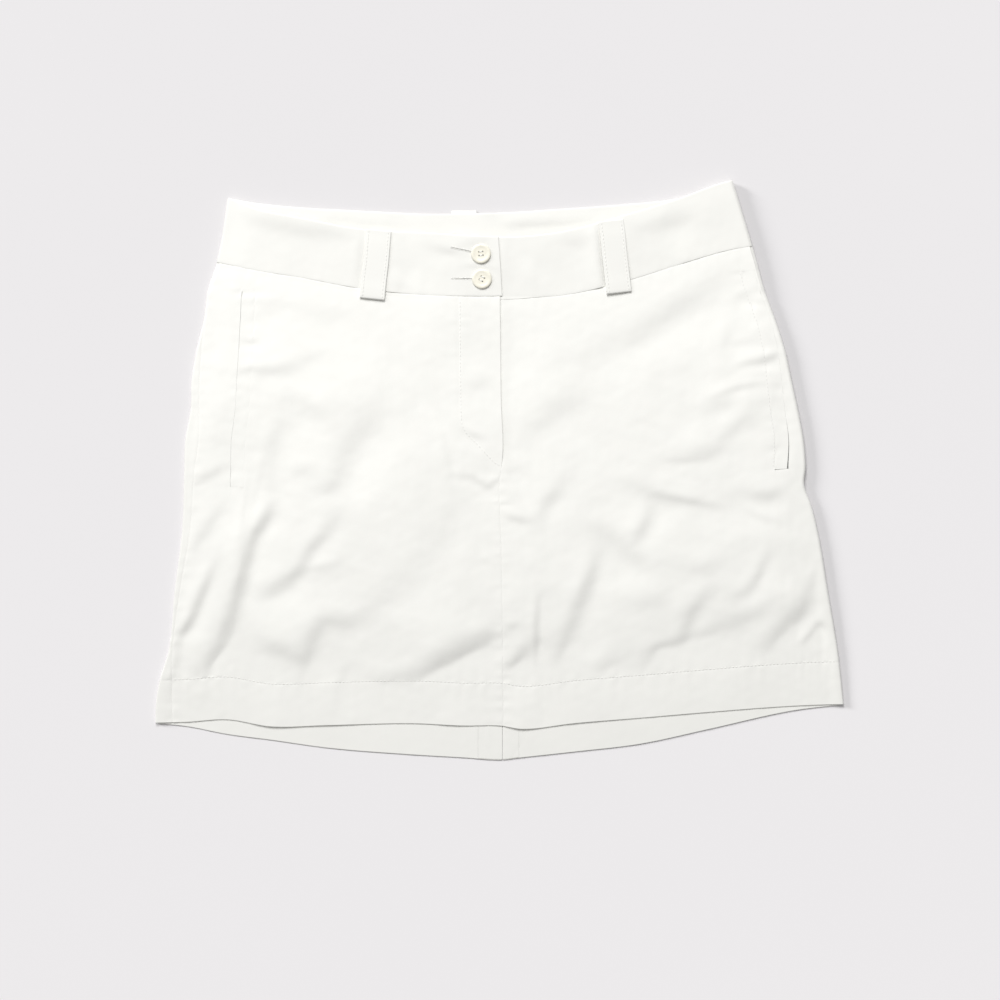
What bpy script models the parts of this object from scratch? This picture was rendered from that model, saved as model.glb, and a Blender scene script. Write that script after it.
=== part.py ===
"""A golf skirt of cotton twill, laid flat on a table with its front up.

The tables are in millimetres: x to the viewer's right, y towards the waist, z up from
the table. Left and right are the viewer's. The meshes are in metres.

The skirt is a flattened tube. A point of it is named by its girth distance w from the
side fold, positive over the front and negative beneath, and by its y. Every panel is a
wall on a grid of such points, and what lies on a panel is made from the same points.
"""

import math
from bisect import bisect_right
from collections import namedtuple

import bmesh
import bpy
from mathutils import Vector

MM = 0.001

# ---- Thicknesses and levels ------------------------------------------------------
CLOTH = 1.0
BAND = 2.0
STRAP = 1.4
TAPE = 1.0
WELT = 1.6
GAP = 0.3

FRONT_LEVEL = 4.5
BACK_LEVEL = CLOTH / 2
BAND_FRONT_LEVEL = 4.9
BAND_BACK_LEVEL = BAND / 2
# The layers over the centre-back loop, from the table up to the button tab.
BAND_OVER_LOOP = STRAP + GAP + BAND / 2
UNDERLAP_BAND = BAND_OVER_LOOP + BAND + GAP
TAB_LEVEL = UNDERLAP_BAND + BAND + GAP
# A panel meets its band this far below the band's middle.
PANEL_DROP = 0.4
FLAP_OVER_UNDERLAP = CLOTH + TAPE + 2 * GAP + 0.2

# ---- Where the levels change: from, and over what length ---------------------------
TAB_RISE = (-78.0, 36.0)
UNDERLAP_RISE = (45.0, -40.0)
LOOP_RISE = (34.0, -22.0)
FRONT_FALL = 60.0
BACK_FALL = (8.0, 37.0)
FLAP_RISE = (-52.0, 16.0)
UNDERLAP_DIP = (14.0, -20.0)
FLY_END = 0.0
FLY_FADE = 18.0
FLAP_LIFT = 0.3

# ---- Sizes in plan ---------------------------------------------------------------
HEM_DEPTH = 34.0
HEM_PITCH = CLOTH + GAP
TURN_RADIUS = HEM_PITCH / 2
TURN_REACH = TURN_RADIUS + CLOTH / 2
WELT_WIDTH = 11.0
WELT_MOUTH = 0.9
UNDERLAP_WIDTH = 33.0
UNDERLAP_BAND_REACH = 40.0
FACING_WIDTH = 17.0
# The facing ends short of the turned-up hem beside it.
FACING_SHARE = 0.95
CENTRE_BACK_X = 2.0
SEAM_CELL = 0.7
VENT_TOP = -132.0
SEAM_STEP = 2.6
STRAP_WIDTH = 20.0
BACK_LOOP_X = -28.8
BUTTON_RADIUS = 7.8
BUTTON_HEIGHT = 2.8
BUTTON_SIDES = 32
HOLE_RADIUS = 0.8
HOLE_PITCH = 3.2

# The rows of every panel, as shares of the way from the band to the hem stitching.
BODY_ROWS = (0, 0.055, 0.12, 0.19, 0.26, 0.33, 0.39, 0.45, 0.533, 0.60, 0.67, 0.74,
             0.80, 0.86, 0.93, 1.0)
POCKET_TOP_ROW = BODY_ROWS.index(0.055)
POCKET_END_ROW = BODY_ROWS.index(0.533)
UNDERLAP_END_ROW = BODY_ROWS.index(0.39)
VENT_TOP_ROW = BODY_ROWS.index(0.86)
# Rows below the hem stitching, as heights above the folded edge.
HEM_ROWS = (22.0, 11.0, 1.5, 0.0)
TURN_ANGLES = (45, 90, 135, 180)
BAND_ROWS = (0, 0.25, 0.5, 0.75, 1.0)

# The columns: a front's shares from the fly to the welt, and a back's shares round the
# fold, then beneath to the vent's facing.
FRONT_SHARES = (0, 0.06, 0.165, 0.23, 0.31, 0.40, 0.49, 0.58, 0.67, 0.76, 0.85, 0.93, 1)
LEFT_BACK_SHARES = ((0, 0.25, 0.5, 0.75, 1.0), (0.25, 0.5, 0.70, 0.79, 0.875, 1.0))
RIGHT_BACK_SHARES = ((1.0,), (0.33, 0.6, 0.82, 1.0))
ZIP_COLUMNS = (-28.0, -17.0, -6.0)
ZIP_TOP_GAP = 3.0

# ---- Tables ----------------------------------------------------------------------
# edge: outline from the centre line; seam and slit: girth distance from the side fold,
# a seam below zero lies beneath.
Section = namedtuple("Section", "y edge seam slit")
LEFT_SECTIONS = [
    Section(232, 215.4, 0.0, 28.0),
    Section(167, 226.4, 0.0, 28.0),
    Section(145, 233.6, 0.0, 28.8),
    Section(121, 236.8, 1.0, 30.2),
    Section(97, 242.4, 4.5, 34.5),
    Section(73, 246.4, 7.0, 37.0),
    Section(49, 247.2, 7.5, 36.6),
    Section(25, 251.6, 11.5, 37.8),
    Section(1, 252.4, 9.0, 38.0),
    Section(-47, 254.0, 7.0, 38.2),
    Section(-95, 260.0, 5.0, 39.0),
    Section(-143, 264.8, 3.5, 40.0),
    Section(-167, 272.0, 10.5, 44.0),
    Section(-183, 274.8, 13.4, 47.0),
    Section(-203, 275.4, 14.2, 48.0),
]
RIGHT_SECTIONS = [
    Section(232, 185.6, -28.0, 5.0),
    Section(193, 197.6, -28.0, 5.0),
    Section(167, 205.2, -28.0, 5.0),
    Section(145, 211.2, -28.0, 5.0),
    Section(121, 220.0, -26.0, 5.2),
    Section(97, 227.6, -24.0, 6.8),
    Section(73, 232.8, -22.0, 9.0),
    Section(49, 238.0, -20.0, 11.4),
    Section(25, 242.4, -18.0, 12.6),
    Section(3, 244.0, -16.0, 14.6),
    Section(-11, 243.0, -15.4, 13.6),
    Section(-27, 248.6, -14.4, 17.6),
    Section(-47, 253.6, -13.0, 20.8),
    Section(-95, 261.8, -10.0, 24.6),
    Section(-143, 269.8, -9.0, 28.6),
    Section(-167, 272.6, -8.0, 30.0),
    Section(-203, 276.24, -8.0, 34.0),
]

# The waistband's top edges and its seams to the panels, across the skirt.
Waist = namedtuple("Waist", "x front_top front_seam back_top back_seam")
WAIST = [
    Waist(-230, 222.0, 167.6, 219.4, 167.6),
    Waist(-217, 218.6, 165.0, 218.2, 165.8),
    Waist(-194, 209.2, 160.2, 214.4, 163.6),
    Waist(-160, 202.4, 154.8, 211.0, 160.8),
    Waist(-112, 193.4, 146.0, 208.4, 157.4),
    Waist(-56, 190.0, 140.4, 205.8, 155.2),
    Waist(0, 186.8, 139.5, 206.8, 155.4),
    Waist(48, 190.8, 140.1, 209.8, 157.2),
    Waist(100, 204.4, 151.6, 213.6, 161.4),
    Waist(144, 218.0, 165.2, 218.8, 168.6),
    Waist(175, 229.6, 174.4, 229.4, 175.4),
    Waist(186, 232.4, 177.0, 232.4, 177.6),
    Waist(202, 238.0, 179.6, 237.0, 179.6),
]

# The folded edges of the hem, across the skirt.
Hem = namedtuple("Hem", "x front back")
HEM = [
    Hem(-276, -201.0, -201.4),
    Hem(-250, -200.4, -204.0),
    Hem(-218, -198.5, -210.2),
    Hem(-183, -204.0, -214.8),
    Hem(-137, -203.0, -221.2),
    Hem(-69, -201.6, -226.6),
    Hem(-28, -203.4, -229.0),
    Hem(0, -203.4, -230.8),
    Hem(18, -206.0, -228.8),
    Hem(60, -201.4, -224.2),
    Hem(112, -197.2, -218.0),
    Hem(166, -192.6, -206.4),
    Hem(234, -187.6, -191.4),
    Hem(276, -186.0, -186.4),
]

# The tab's end, and the free edge of the fly with the centre-front seam below it.
Fly = namedtuple("Fly", "y x")
TAB_END = [Fly(187, -1.2), Fly(164, 0.4), Fly(139, 1.8)]
FLY = [Fly(145, 0.0), Fly(60, 0.9), Fly(6, 1.6), Fly(0, 0.2), Fly(-60, 0.9),
       Fly(-170, 2.4), Fly(-205, 2.4)]

# The largest creases of the front: a soft ridge or, below zero, a trough along a line.
Crease = namedtuple("Crease", "x0 y0 x1 y1 half_width height")
CREASES = [
    Crease(-176, 42, -194, -30, 16, -1.1),
    Crease(-194, -50, -219, -138, 18, -1.3),
    Crease(-206, 20, -232, -80, 15, 0.8),
    Crease(-222, -80, -248, -160, 13, 0.8),
    Crease(-14, -124, -104, -158, 24, -1.3),
    Crease(-20, -88, -120, -128, 26, 0.9),
    Crease(76, -72, 46, -150, 18, -1.0),
    Crease(104, -60, 72, -148, 20, 0.8),
    Crease(122, -142, 212, -108, 16, -1.1),
    Crease(120, -96, 214, -66, 22, 0.8),
    Crease(176, 150, 98, 92, 22, -0.9),
    Crease(84, -6, 196, -32, 16, -0.8),
    Crease(88, 40, 190, 14, 24, 0.8),
    Crease(-150, 96, -70, 20, 30, 0.7),
    Crease(-112, -16, -166, -92, 20, -0.9),
]

# Belt loops at the front: their centre lines, on the band.
Strap = namedtuple("Strap", "name x_top y_top x_end y_end")
FRONT_LOOPS = [
    Strap("belt_loop_front_left", -96.4, 192.0, -101.8, 138.2),
    Strap("belt_loop_front_right", 88.2, 199.6, 94.8, 143.0),
]

# How a front loop arches: share of its length, and rise above where it is sewn down.
Arch = namedtuple("Arch", "share rise")
LOOP_ARCH = [Arch(0.0, 0.0), Arch(0.05, 0.05), Arch(0.16, 0.9), Arch(0.32, 1.7),
             Arch(0.5, 2.1), Arch(0.68, 2.1), Arch(0.85, 1.9), Arch(1.0, 1.7)]
LOOP_RETURN = 8.0
SEWN_LEVEL = BAND_FRONT_LEVEL + BAND / 2 + GAP + STRAP / 2
BACK_LOOP_ROWS = (208.6, 196.0, 180.0, 166.0, 152.0)

# The pocket bags: flat, from the slit inwards, with a round lower corner.
BAG_LEVEL = BACK_LEVEL + CLOTH + GAP
BAG_TOP = 150.0
BAG_END = -58.0
BAG_DEPTH = 88.0
BAG_CORNER = 52.0
BAG_OUTSIDE = 12.0
BAG_ROWS = (BAG_TOP, 120, 90, 60, 30, 0, -30)

# The button, turned from the middle of its top outwards: shares of radius and height.
Turned = namedtuple("Turned", "radius height")
BUTTON_PROFILE = [Turned(0.50, 0.55), Turned(0.60, 0.62), Turned(0.70, 0.92),
                  Turned(0.80, 1.0), Turned(0.92, 0.92), Turned(1.0, 0.62),
                  Turned(0.98, 0.35), Turned(0.84, 0.06), Turned(0.70, 0.0)]

# Buttons on the tab, with the turn of their four holes and the slope of their slits.
Button = namedtuple("Button", "name x y turn slit_slope")
BUTTONS = [
    Button("button_upper", -15.2, 173.2, 6.0, -7.0),
    Button("button_lower", -14.4, 153.2, -32.0, -4.0),
]
SLIT_START = 24.0
SLIT_END = 2.0
SLIT_WIDTH = 0.8

# ---- Colours ---------------------------------------------------------------------
TWILL = (0.90, 0.89, 0.86)
POCKETING = (0.88, 0.88, 0.86)
PEARL = (0.86, 0.83, 0.76)


# ---- Curves ----------------------------------------------------------------------
def ease(t):
    """0 up to 0, 1 from 1 on, and smooth between."""
    t = min(1.0, max(0.0, t))
    return t * t * (3 - 2 * t)


def lerp(a, b, t):
    return a + (b - a) * t


def ramp(x, start_and_length):
    """0 before the start, 1 after the length, which is negative towards lower x."""
    start, length = start_and_length
    return ease((x - start) / length)


def curve(rows, key, value):
    """A smooth function through two named columns of a table, straight beyond its ends."""
    points = sorted((getattr(r, key), getattr(r, value)) for r in rows)
    xs = [p[0] for p in points]
    ys = [p[1] for p in points]
    chords = [(ys[i + 1] - ys[i]) / (xs[i + 1] - xs[i]) for i in range(len(xs) - 1)]
    inner = [(a + b) / 2 for a, b in zip(chords, chords[1:])]
    slopes = [chords[0], *inner, chords[-1]]

    def at(x):
        if x <= xs[0]:
            return ys[0] + slopes[0] * (x - xs[0])
        if x >= xs[-1]:
            return ys[-1] + slopes[-1] * (x - xs[-1])
        i = bisect_right(xs, x) - 1
        h = xs[i + 1] - xs[i]
        t = (x - xs[i]) / h
        start = (1 + 2 * t) * (1 - t) ** 2 * ys[i] + t * (1 - t) ** 2 * h * slopes[i]
        end = t * t * (3 - 2 * t) * ys[i + 1] + t * t * (t - 1) * h * slopes[i + 1]
        return start + end

    return at


front_top = curve(WAIST, "x", "front_top")
front_seam = curve(WAIST, "x", "front_seam")
back_top = curve(WAIST, "x", "back_top")
back_seam = curve(WAIST, "x", "back_seam")
front_hem = curve(HEM, "x", "front")
back_hem = curve(HEM, "x", "back")
fly_edge = curve(FLY, "y", "x")
tab_end = curve(TAB_END, "y", "x")


def right_seam(x):
    """The right front's band seam, a step lower than the left's under the tab."""
    return front_seam(x) - SEAM_STEP * (1 - ease(x / 40))


# ---- The flattened tube ----------------------------------------------------------
class Side:
    """One side of the tube: sign -1 is the left, +1 the right."""

    def __init__(self, sign, sections):
        self.sign = sign
        self.edge = curve(sections, "y", "edge")
        self.seam = curve(sections, "y", "seam")
        self.slit = curve(sections, "y", "slit")


class Tube:
    """Two layers joined by a round fold: the panels, or the bands."""

    def __init__(self, thick, front, back):
        self.thick = thick
        self.radius = (front - back) / 2
        self.centre = (front + back) / 2
        self.quarter = self.radius * math.pi / 2

    def start(self, side, y):
        """Distance from the centre line at which the round fold starts."""
        return side.edge(y) - self.radius - self.thick / 2

    def plan(self, side, w, y):
        """Signed x of the girth distance w."""
        start = self.start(side, y)
        if w >= self.quarter:
            return side.sign * (start - w + self.quarter)
        if w <= -self.quarter:
            return side.sign * (start + w + self.quarter)
        return side.sign * (start + self.radius * math.cos(w / self.radius))

    def girth(self, side, x, y, over=True):
        """Girth distance of a point at x, over the front or beneath."""
        w = self.start(side, y) - side.sign * x + self.quarter
        return w if over else -w


LEFT = Side(-1, LEFT_SECTIONS)
RIGHT = Side(1, RIGHT_SECTIONS)
PANELS = Tube(CLOTH, FRONT_LEVEL, BACK_LEVEL)
BANDS = Tube(BAND, BAND_FRONT_LEVEL, BAND_BACK_LEVEL)


# ---- Levels of the layers --------------------------------------------------------
def creases(side, x, y):
    """Height of the front's creases, none near its edges, its fly and its hem."""
    total = 0.0
    for c in CREASES:
        run = Vector((c.x1 - c.x0, c.y1 - c.y0))
        reach = Vector((x - c.x0, y - c.y0))
        along = min(1.0, max(0.0, reach.dot(run) / run.length_squared))
        away = (reach - run * along).length / c.half_width
        if away < 1:
            total += c.height * (1 + math.cos(math.pi * away)) / 2
    inside = PANELS.start(side, y) - side.sign * x
    beside_fly = ramp(abs(x), (56, -16)) * ramp(y, (FLY_END - 8, 16))
    above_hem = y - front_hem(x) - HEM_DEPTH
    return total * ramp(inside, (0, 22)) * (1 - beside_fly) * ramp(above_hem, (0, 18))


def near_band(seam, x, y):
    """1 at the band's seam, falling to 0 below it."""
    return 1 - ramp(seam(x) - y, (0, FRONT_FALL))


def left_band_level(x, y):
    return lerp(BAND_FRONT_LEVEL, TAB_LEVEL, ramp(x, TAB_RISE))


def right_band_level(x, y):
    return lerp(BAND_FRONT_LEVEL, UNDERLAP_BAND, ramp(x, UNDERLAP_RISE))


def back_band_level(x, y):
    return lerp(BAND_BACK_LEVEL, BAND_OVER_LOOP, ramp(abs(x - BACK_LOOP_X), LOOP_RISE))


def left_front_level(x, y):
    flap = ramp(x, FLAP_RISE) * ramp(y, (FLY_END, FLY_FADE))
    low = FRONT_LEVEL + flap * FLAP_LIFT + creases(LEFT, x, y)
    over_underlap = UNDERLAP_BAND - PANEL_DROP + FLAP_OVER_UNDERLAP
    high = lerp(BAND_FRONT_LEVEL - PANEL_DROP, over_underlap, ramp(x, TAB_RISE))
    return lerp(low, high, near_band(front_seam, x, y))


def right_front_level(x, y):
    under = ramp(x, UNDERLAP_DIP) * ramp(y, (FLY_END + 2, FLY_FADE - 1))
    dip = FLAP_OVER_UNDERLAP - FLAP_LIFT
    low = FRONT_LEVEL - under * dip + creases(RIGHT, x, y)
    high = right_band_level(x, y) - PANEL_DROP
    return lerp(low, high, near_band(front_seam, x, y))


def back_level(x, y):
    high = back_band_level(x, y) - (BAND - CLOTH) / 2
    return lerp(high, BACK_LEVEL, ramp(back_seam(x) - y, BACK_FALL))


# ---- Points and normals ----------------------------------------------------------
class Surface:
    """The middle surface of one side of a tube, with its own front and back levels."""

    def __init__(self, side, tube, over, beneath):
        self.side = side
        self.tube = tube
        self.over = over
        self.beneath = beneath

    def point(self, w, y):
        tube = self.tube
        x = tube.plan(self.side, w, y)
        if w >= tube.quarter:
            z = self.over(x, y)
        elif w <= -tube.quarter:
            z = self.beneath(x, y)
        else:
            z = tube.centre + tube.radius * math.sin(w / tube.radius)
        return Vector((x, y, z))

    def normal(self, w, y, step=0.2):
        """Unit normal that points out of the tube."""
        across = self.point(w + step, y) - self.point(w - step, y)
        down = self.point(w, y + step) - self.point(w, y - step)
        return (across.cross(down) * self.side.sign * -1).normalized()

    def meet(self, column, front_edge, back_edge):
        """The y at which a column reaches an edge that runs round the tube."""
        y = front_edge(0.0)
        quarter = self.tube.quarter
        for _ in range(30):
            w = column(y)
            x = self.tube.plan(self.side, w, y)
            share = min(1.0, max(0.0, (quarter - w) / (2 * quarter)))
            y = lerp(front_edge(x), back_edge(x), share)
        return y


# ---- Walls -----------------------------------------------------------------------
def finish(name, colour, roughness):
    """A Principled material, made once for each name."""
    found = bpy.data.materials.get(name)
    if found:
        return found
    made = bpy.data.materials.new(name)
    made.use_nodes = True
    shader = made.node_tree.nodes["Principled BSDF"]
    shader.inputs["Base Color"].default_value = (*colour, 1.0)
    shader.inputs["Roughness"].default_value = roughness
    shader.inputs["Metallic"].default_value = 0.0
    return made


def twill():
    return finish("off_white_twill", TWILL, 0.82)


def add_object(name, mesh, material):
    """A smooth-shaded object under the skirt's empty."""
    mesh.materials.append(material)
    mesh.shade_smooth()
    mesh.set_sharp_from_angle(angle=math.radians(50))
    made = bpy.data.objects.new(name, mesh)
    bpy.context.scene.collection.objects.link(made)
    made.parent = SKIRT
    return made


def wall(name, grid, thick, material, missing=()):
    """A closed wall on a grid of (point, normal) rows, in millimetres.

    missing holds the (row, column) cells that are left out.
    """
    rows, columns = len(grid), len(grid[0])
    missing = set(missing)
    cells = [(j, i) for j in range(rows - 1) for i in range(columns - 1)
             if (j, i) not in missing]
    corners = [[(j, i), (j, i + 1), (j + 1, i + 1), (j + 1, i)] for j, i in cells]
    used = sorted({corner for cell in corners for corner in cell})
    order = {corner: n for n, corner in enumerate(used)}
    outer = []
    inner = []
    for j, i in used:
        point, normal = grid[j][i]
        outer.append((point + normal * thick / 2) * MM)
        inner.append((point - normal * thick / 2) * MM)
    count = len(used)
    faces = []
    edges = {}
    for cell in corners:
        ring = [order[corner] for corner in cell]
        faces.append(ring)
        faces.append([n + count for n in reversed(ring)])
        for a, b in zip(ring, ring[1:] + ring[:1]):
            if (b, a) in edges:
                del edges[b, a]
            else:
                edges[a, b] = True
    for a, b in edges:
        faces.append([b, a, a + count, b + count])
    mesh = bpy.data.meshes.new(name)
    mesh.from_pydata(outer + inner, [], faces)
    shape = bmesh.new()
    shape.from_mesh(mesh)
    bmesh.ops.recalc_face_normals(shape, faces=shape.faces)
    shape.to_mesh(mesh)
    shape.free()
    return add_object(name, mesh, material)


def turned(point, normal, forward, angle):
    """A point and normal on the round turn that folds a layer back under itself."""
    ahead = (forward - normal * forward.dot(normal)).normalized()
    facing = normal * math.cos(angle) + ahead * math.sin(angle)
    return point - normal * TURN_RADIUS + facing * TURN_RADIUS, facing


def panel_grid(surface, columns, top, bottom):
    """The panel's rows of (point, normal), from the band to the hem's folded edge."""
    lines = []
    for column in columns:
        y_top = surface.meet(column, *top)
        y_hem = surface.meet(column, *bottom) + TURN_REACH
        heights = [lerp(y_top, y_hem + HEM_DEPTH, v) for v in BODY_ROWS]
        heights += [y_hem + h for h in HEM_ROWS]
        line = []
        for y in heights:
            w = column(y)
            line.append((surface.point(w, y), surface.normal(w, y)))
        lines.append(line)
    return [list(row) for row in zip(*lines)]


def turn_hem(grid):
    """Adds the turned-up hem: round the folded edge and back up inside the panel."""
    last = grid[-1]
    before = grid[-2]
    for degrees in TURN_ANGLES:
        grid.append([turned(p, n, p - q, math.radians(degrees))
                     for (p, n), (q, _) in zip(last, before)])
    hem_top = len(BODY_ROWS) - 1
    for j in range(hem_top + len(HEM_ROWS) - 1, hem_top - 1, -1):
        grid.append([(p - n * HEM_PITCH, -n) for p, n in grid[j]])
    return grid


def turn_facing(grid):
    """Adds columns after the last: the vent's facing, turned in beside the slit."""
    for row in grid:
        edge, normal = row[-1]
        beside = row[-2][0]
        for degrees in TURN_ANGLES:
            row.append(turned(edge, normal, edge - beside, math.radians(degrees)))
        for point in (edge, lerp(edge, beside, FACING_SHARE)):
            row.append((point - normal * HEM_PITCH, -normal))
    return grid


# ---- Panels ----------------------------------------------------------------------
def front_columns(side):
    """Columns from the fly's edge to the welt's seam, then the pocket's slit."""
    spare = 0.0 if side is LEFT else GAP + 0.05

    def centre(y):
        return PANELS.girth(side, fly_edge(y) + spare, y)

    def welt(y):
        return side.slit(y) + WELT_WIDTH

    def between(share):
        return lambda y: lerp(centre(y), welt(y), share)

    return [between(share) for share in FRONT_SHARES] + [side.slit]


def to_seam(side, share, spare):
    """A column between the slit and the side seam, spare short of the seam."""
    return lambda y: lerp(side.slit(y), side.seam(y) + spare, share)


def pocket_cells(columns):
    """The cells that the pocket's welt fills: one column, between two rows."""
    mouth = len(FRONT_SHARES) - 1 + columns
    return [(j, mouth) for j in range(POCKET_TOP_ROW, POCKET_END_ROW)]


def less(edge, gap):
    return lambda x: edge(x) - gap


def above(edge, gap):
    return lambda x: edge(x) + gap


def make_front_left():
    surface = Surface(LEFT, PANELS, left_front_level, back_level)
    columns = front_columns(LEFT)
    columns += [to_seam(LEFT, share, GAP / 2) for share in (0.5, 0.88, 1.0)]
    top = (less(front_seam, GAP / 2), less(back_seam, GAP / 2))
    grid = turn_hem(panel_grid(surface, columns, top, (front_hem, back_hem)))
    return wall("front_left", grid, CLOTH, twill(), pocket_cells(0))


def make_front_right():
    surface = Surface(RIGHT, PANELS, right_front_level, back_level)
    quarter = PANELS.quarter

    def underlap(x):
        return lambda y: PANELS.girth(RIGHT, x, y)

    def beneath(share):
        return lambda y: lerp(-quarter, RIGHT.seam(y) + GAP / 2, share)

    laps = [underlap(x) for x in (-UNDERLAP_WIDTH, -UNDERLAP_WIDTH / 2, -5.0)]
    fold = [lambda y, f=f: quarter * f for f in (1, 1 / 3, -1 / 3, -1)]
    columns = laps + front_columns(RIGHT) + fold
    columns += [beneath(share) for share in (0.5, 1.0)]
    top = (less(right_seam, GAP / 2), less(back_seam, GAP / 2))
    grid = turn_hem(panel_grid(surface, columns, top, (front_hem, back_hem)))
    lapless = [(j, i) for j in range(UNDERLAP_END_ROW, len(grid) - 1)
               for i in range(len(laps))]
    return wall("front_right", grid, CLOTH, twill(), pocket_cells(len(laps)) + lapless)


def back_columns(side, shares):
    """Columns from the side seam, round the fold and beneath to the centre back."""
    quarter = PANELS.quarter

    def seam(y):
        return side.seam(y) - GAP / 2

    def fold_start(y):
        return min(quarter, seam(y) - SEAM_CELL)

    def fold_end(y):
        return min(-quarter, fold_start(y))

    def centre(y):
        """The centre-back seam, set back beside the vent for its turned edge."""
        vent = ease((VENT_TOP - y) / 14)
        x = CENTRE_BACK_X + side.sign * lerp(GAP / 2, TURN_REACH + GAP / 2, vent)
        return PANELS.girth(side, x, y, over=False)

    def facing(y):
        x = CENTRE_BACK_X + side.sign * FACING_WIDTH
        return PANELS.girth(side, x, y, over=False)

    round_fold, beneath = shares
    columns = [seam]
    columns += [lambda y, s=s: lerp(fold_start(y), fold_end(y), s) for s in round_fold]
    columns += [lambda y, s=s: lerp(fold_end(y), facing(y), s) for s in beneath]
    return columns + [centre]


def make_back(side, name, shares):
    surface = Surface(side, PANELS, lambda x, y: FRONT_LEVEL, back_level)
    columns = back_columns(side, shares)
    front_edge = front_seam if side is LEFT else right_seam
    top = (less(front_edge, GAP / 2), less(back_seam, GAP / 2))
    grid = turn_hem(panel_grid(surface, columns, top, (front_hem, back_hem)))
    centre = len(columns) - 1
    grid = turn_facing(grid)
    folded_edge = len(BODY_ROWS) + len(HEM_ROWS) - 1
    last = len(grid[0]) - 1
    # The facing runs from the vent's top to just above the hem's folded edge, and the
    # turned-up hem stops at the facing.
    missing = [(j, i) for j in range(len(grid) - 1) for i in range(centre, last)
               if not VENT_TOP_ROW <= j < folded_edge - 1]
    hem_layer = folded_edge + len(TURN_ANGLES)
    missing += [(j, centre - 1) for j in range(hem_layer, len(grid) - 1)]
    return wall(name, grid, CLOTH, twill(), missing)


# ---- Waistband -------------------------------------------------------------------
def fixed(tube, side, x, over=True):
    """A column that keeps its distance from the centre line."""
    return lambda y: tube.girth(side, x, y, over)


def in_line(side, columns, over=True):
    """Band columns that meet the panel's at the seam and lean with the outline."""
    surface = Surface(side, PANELS, left_front_level, back_level)
    made = []
    for column in columns:
        y = surface.meet(column, front_seam, back_seam)
        share = PANELS.plan(side, column(y), y) / side.edge(y)
        made.append(lambda y, s=share: BANDS.girth(side, s * side.edge(y), y, over))
    return made


def band_lines(surface, columns, seams):
    """Lines of (point, normal) from the band's top edge to its seam."""
    lines = []
    for column in columns:
        y_top = surface.meet(column, front_top, back_top)
        y_seam = surface.meet(column, *seams)
        heights = [lerp(y_top, y_seam, v) for v in BAND_ROWS]
        lines.append([(surface.point(column(y), y), surface.normal(column(y), y))
                      for y in heights])
    return lines


def band_wall(name, lines):
    return wall(name, [list(row) for row in zip(*lines)], BAND, twill())


def make_waistband_front_left():
    surface = Surface(LEFT, BANDS, left_band_level, back_band_level)
    columns = [lambda y: BANDS.girth(LEFT, tab_end(y), y)]
    columns += in_line(LEFT, front_columns(LEFT)[1:])
    columns += [lambda y, f=f: BANDS.quarter * f for f in (1, 0.5)]
    columns.append(lambda y: GAP / 2)
    seams = (above(front_seam, GAP / 2), above(back_seam, GAP / 2))
    return band_wall("waistband_front_left", band_lines(surface, columns, seams))


def make_waistband_front_right():
    surface = Surface(RIGHT, BANDS, right_band_level, back_band_level)
    quarter = BANDS.quarter
    columns = [fixed(BANDS, RIGHT, x) for x in (-UNDERLAP_BAND_REACH, -20.0)]
    columns += in_line(RIGHT, front_columns(RIGHT)[:-1])
    columns += [lambda y, f=f: quarter * f for f in (1, 0.5, 0, -0.5, -1)]
    columns += [lambda y, s=s: lerp(-quarter, RIGHT.seam(y) + GAP / 2, s) for s in (0.5, 1)]
    seams = (above(right_seam, GAP / 2), above(back_seam, GAP / 2))
    return band_wall("waistband_front_right", band_lines(surface, columns, seams))


def make_waistband_back():
    """From the left fold's middle beneath the skirt to the right side seam."""
    seams = (above(front_seam, GAP / 2), above(back_seam, GAP / 2))
    left = Surface(LEFT, BANDS, left_band_level, back_band_level)
    columns = [lambda y: -GAP / 2]
    columns += [lambda y, f=f: -BANDS.quarter * f for f in (0.5, 1)]
    beneath = back_columns(LEFT, LEFT_BACK_SHARES)[len(LEFT_BACK_SHARES[0]) + 1:]
    columns += in_line(LEFT, beneath, over=False)
    lines = band_lines(left, columns, seams)
    right = Surface(RIGHT, BANDS, right_band_level, back_band_level)
    beneath = back_columns(RIGHT, RIGHT_BACK_SHARES)[len(RIGHT_BACK_SHARES[0]) + 1:-1]
    columns = in_line(RIGHT, beneath[::-1], over=False)
    columns += [lambda y, w=w: RIGHT.seam(y) - w for w in (4.0, GAP / 2)]
    lines += band_lines(right, columns, seams)
    return band_wall("waistband_back", lines)


# ---- Pockets ---------------------------------------------------------------------
def make_welt(side, name, level):
    """A folded strip that fills the slot beside the pocket's slit."""
    surface = Surface(side, PANELS, level, back_level)
    top = (less(front_seam if side is LEFT else right_seam, GAP / 2),
           less(back_seam, GAP / 2))

    def column(offset):
        return lambda y: side.slit(y) + offset

    columns = [column(offset) for offset in (WELT_MOUTH, WELT_WIDTH / 2, WELT_WIDTH - GAP)]
    grid = panel_grid(surface, columns, top, (front_hem, back_hem))
    grid = grid[POCKET_TOP_ROW:POCKET_END_ROW + 1]
    for row, beside in ((0, 1), (-1, -2)):
        runs = [(b - a).normalized() for (a, _), (b, _) in zip(grid[row], grid[beside])]
        grid[row] = [(p + run * GAP, n) for (p, n), run in zip(grid[row], runs)]
    return wall(name, grid, WELT, twill())


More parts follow.
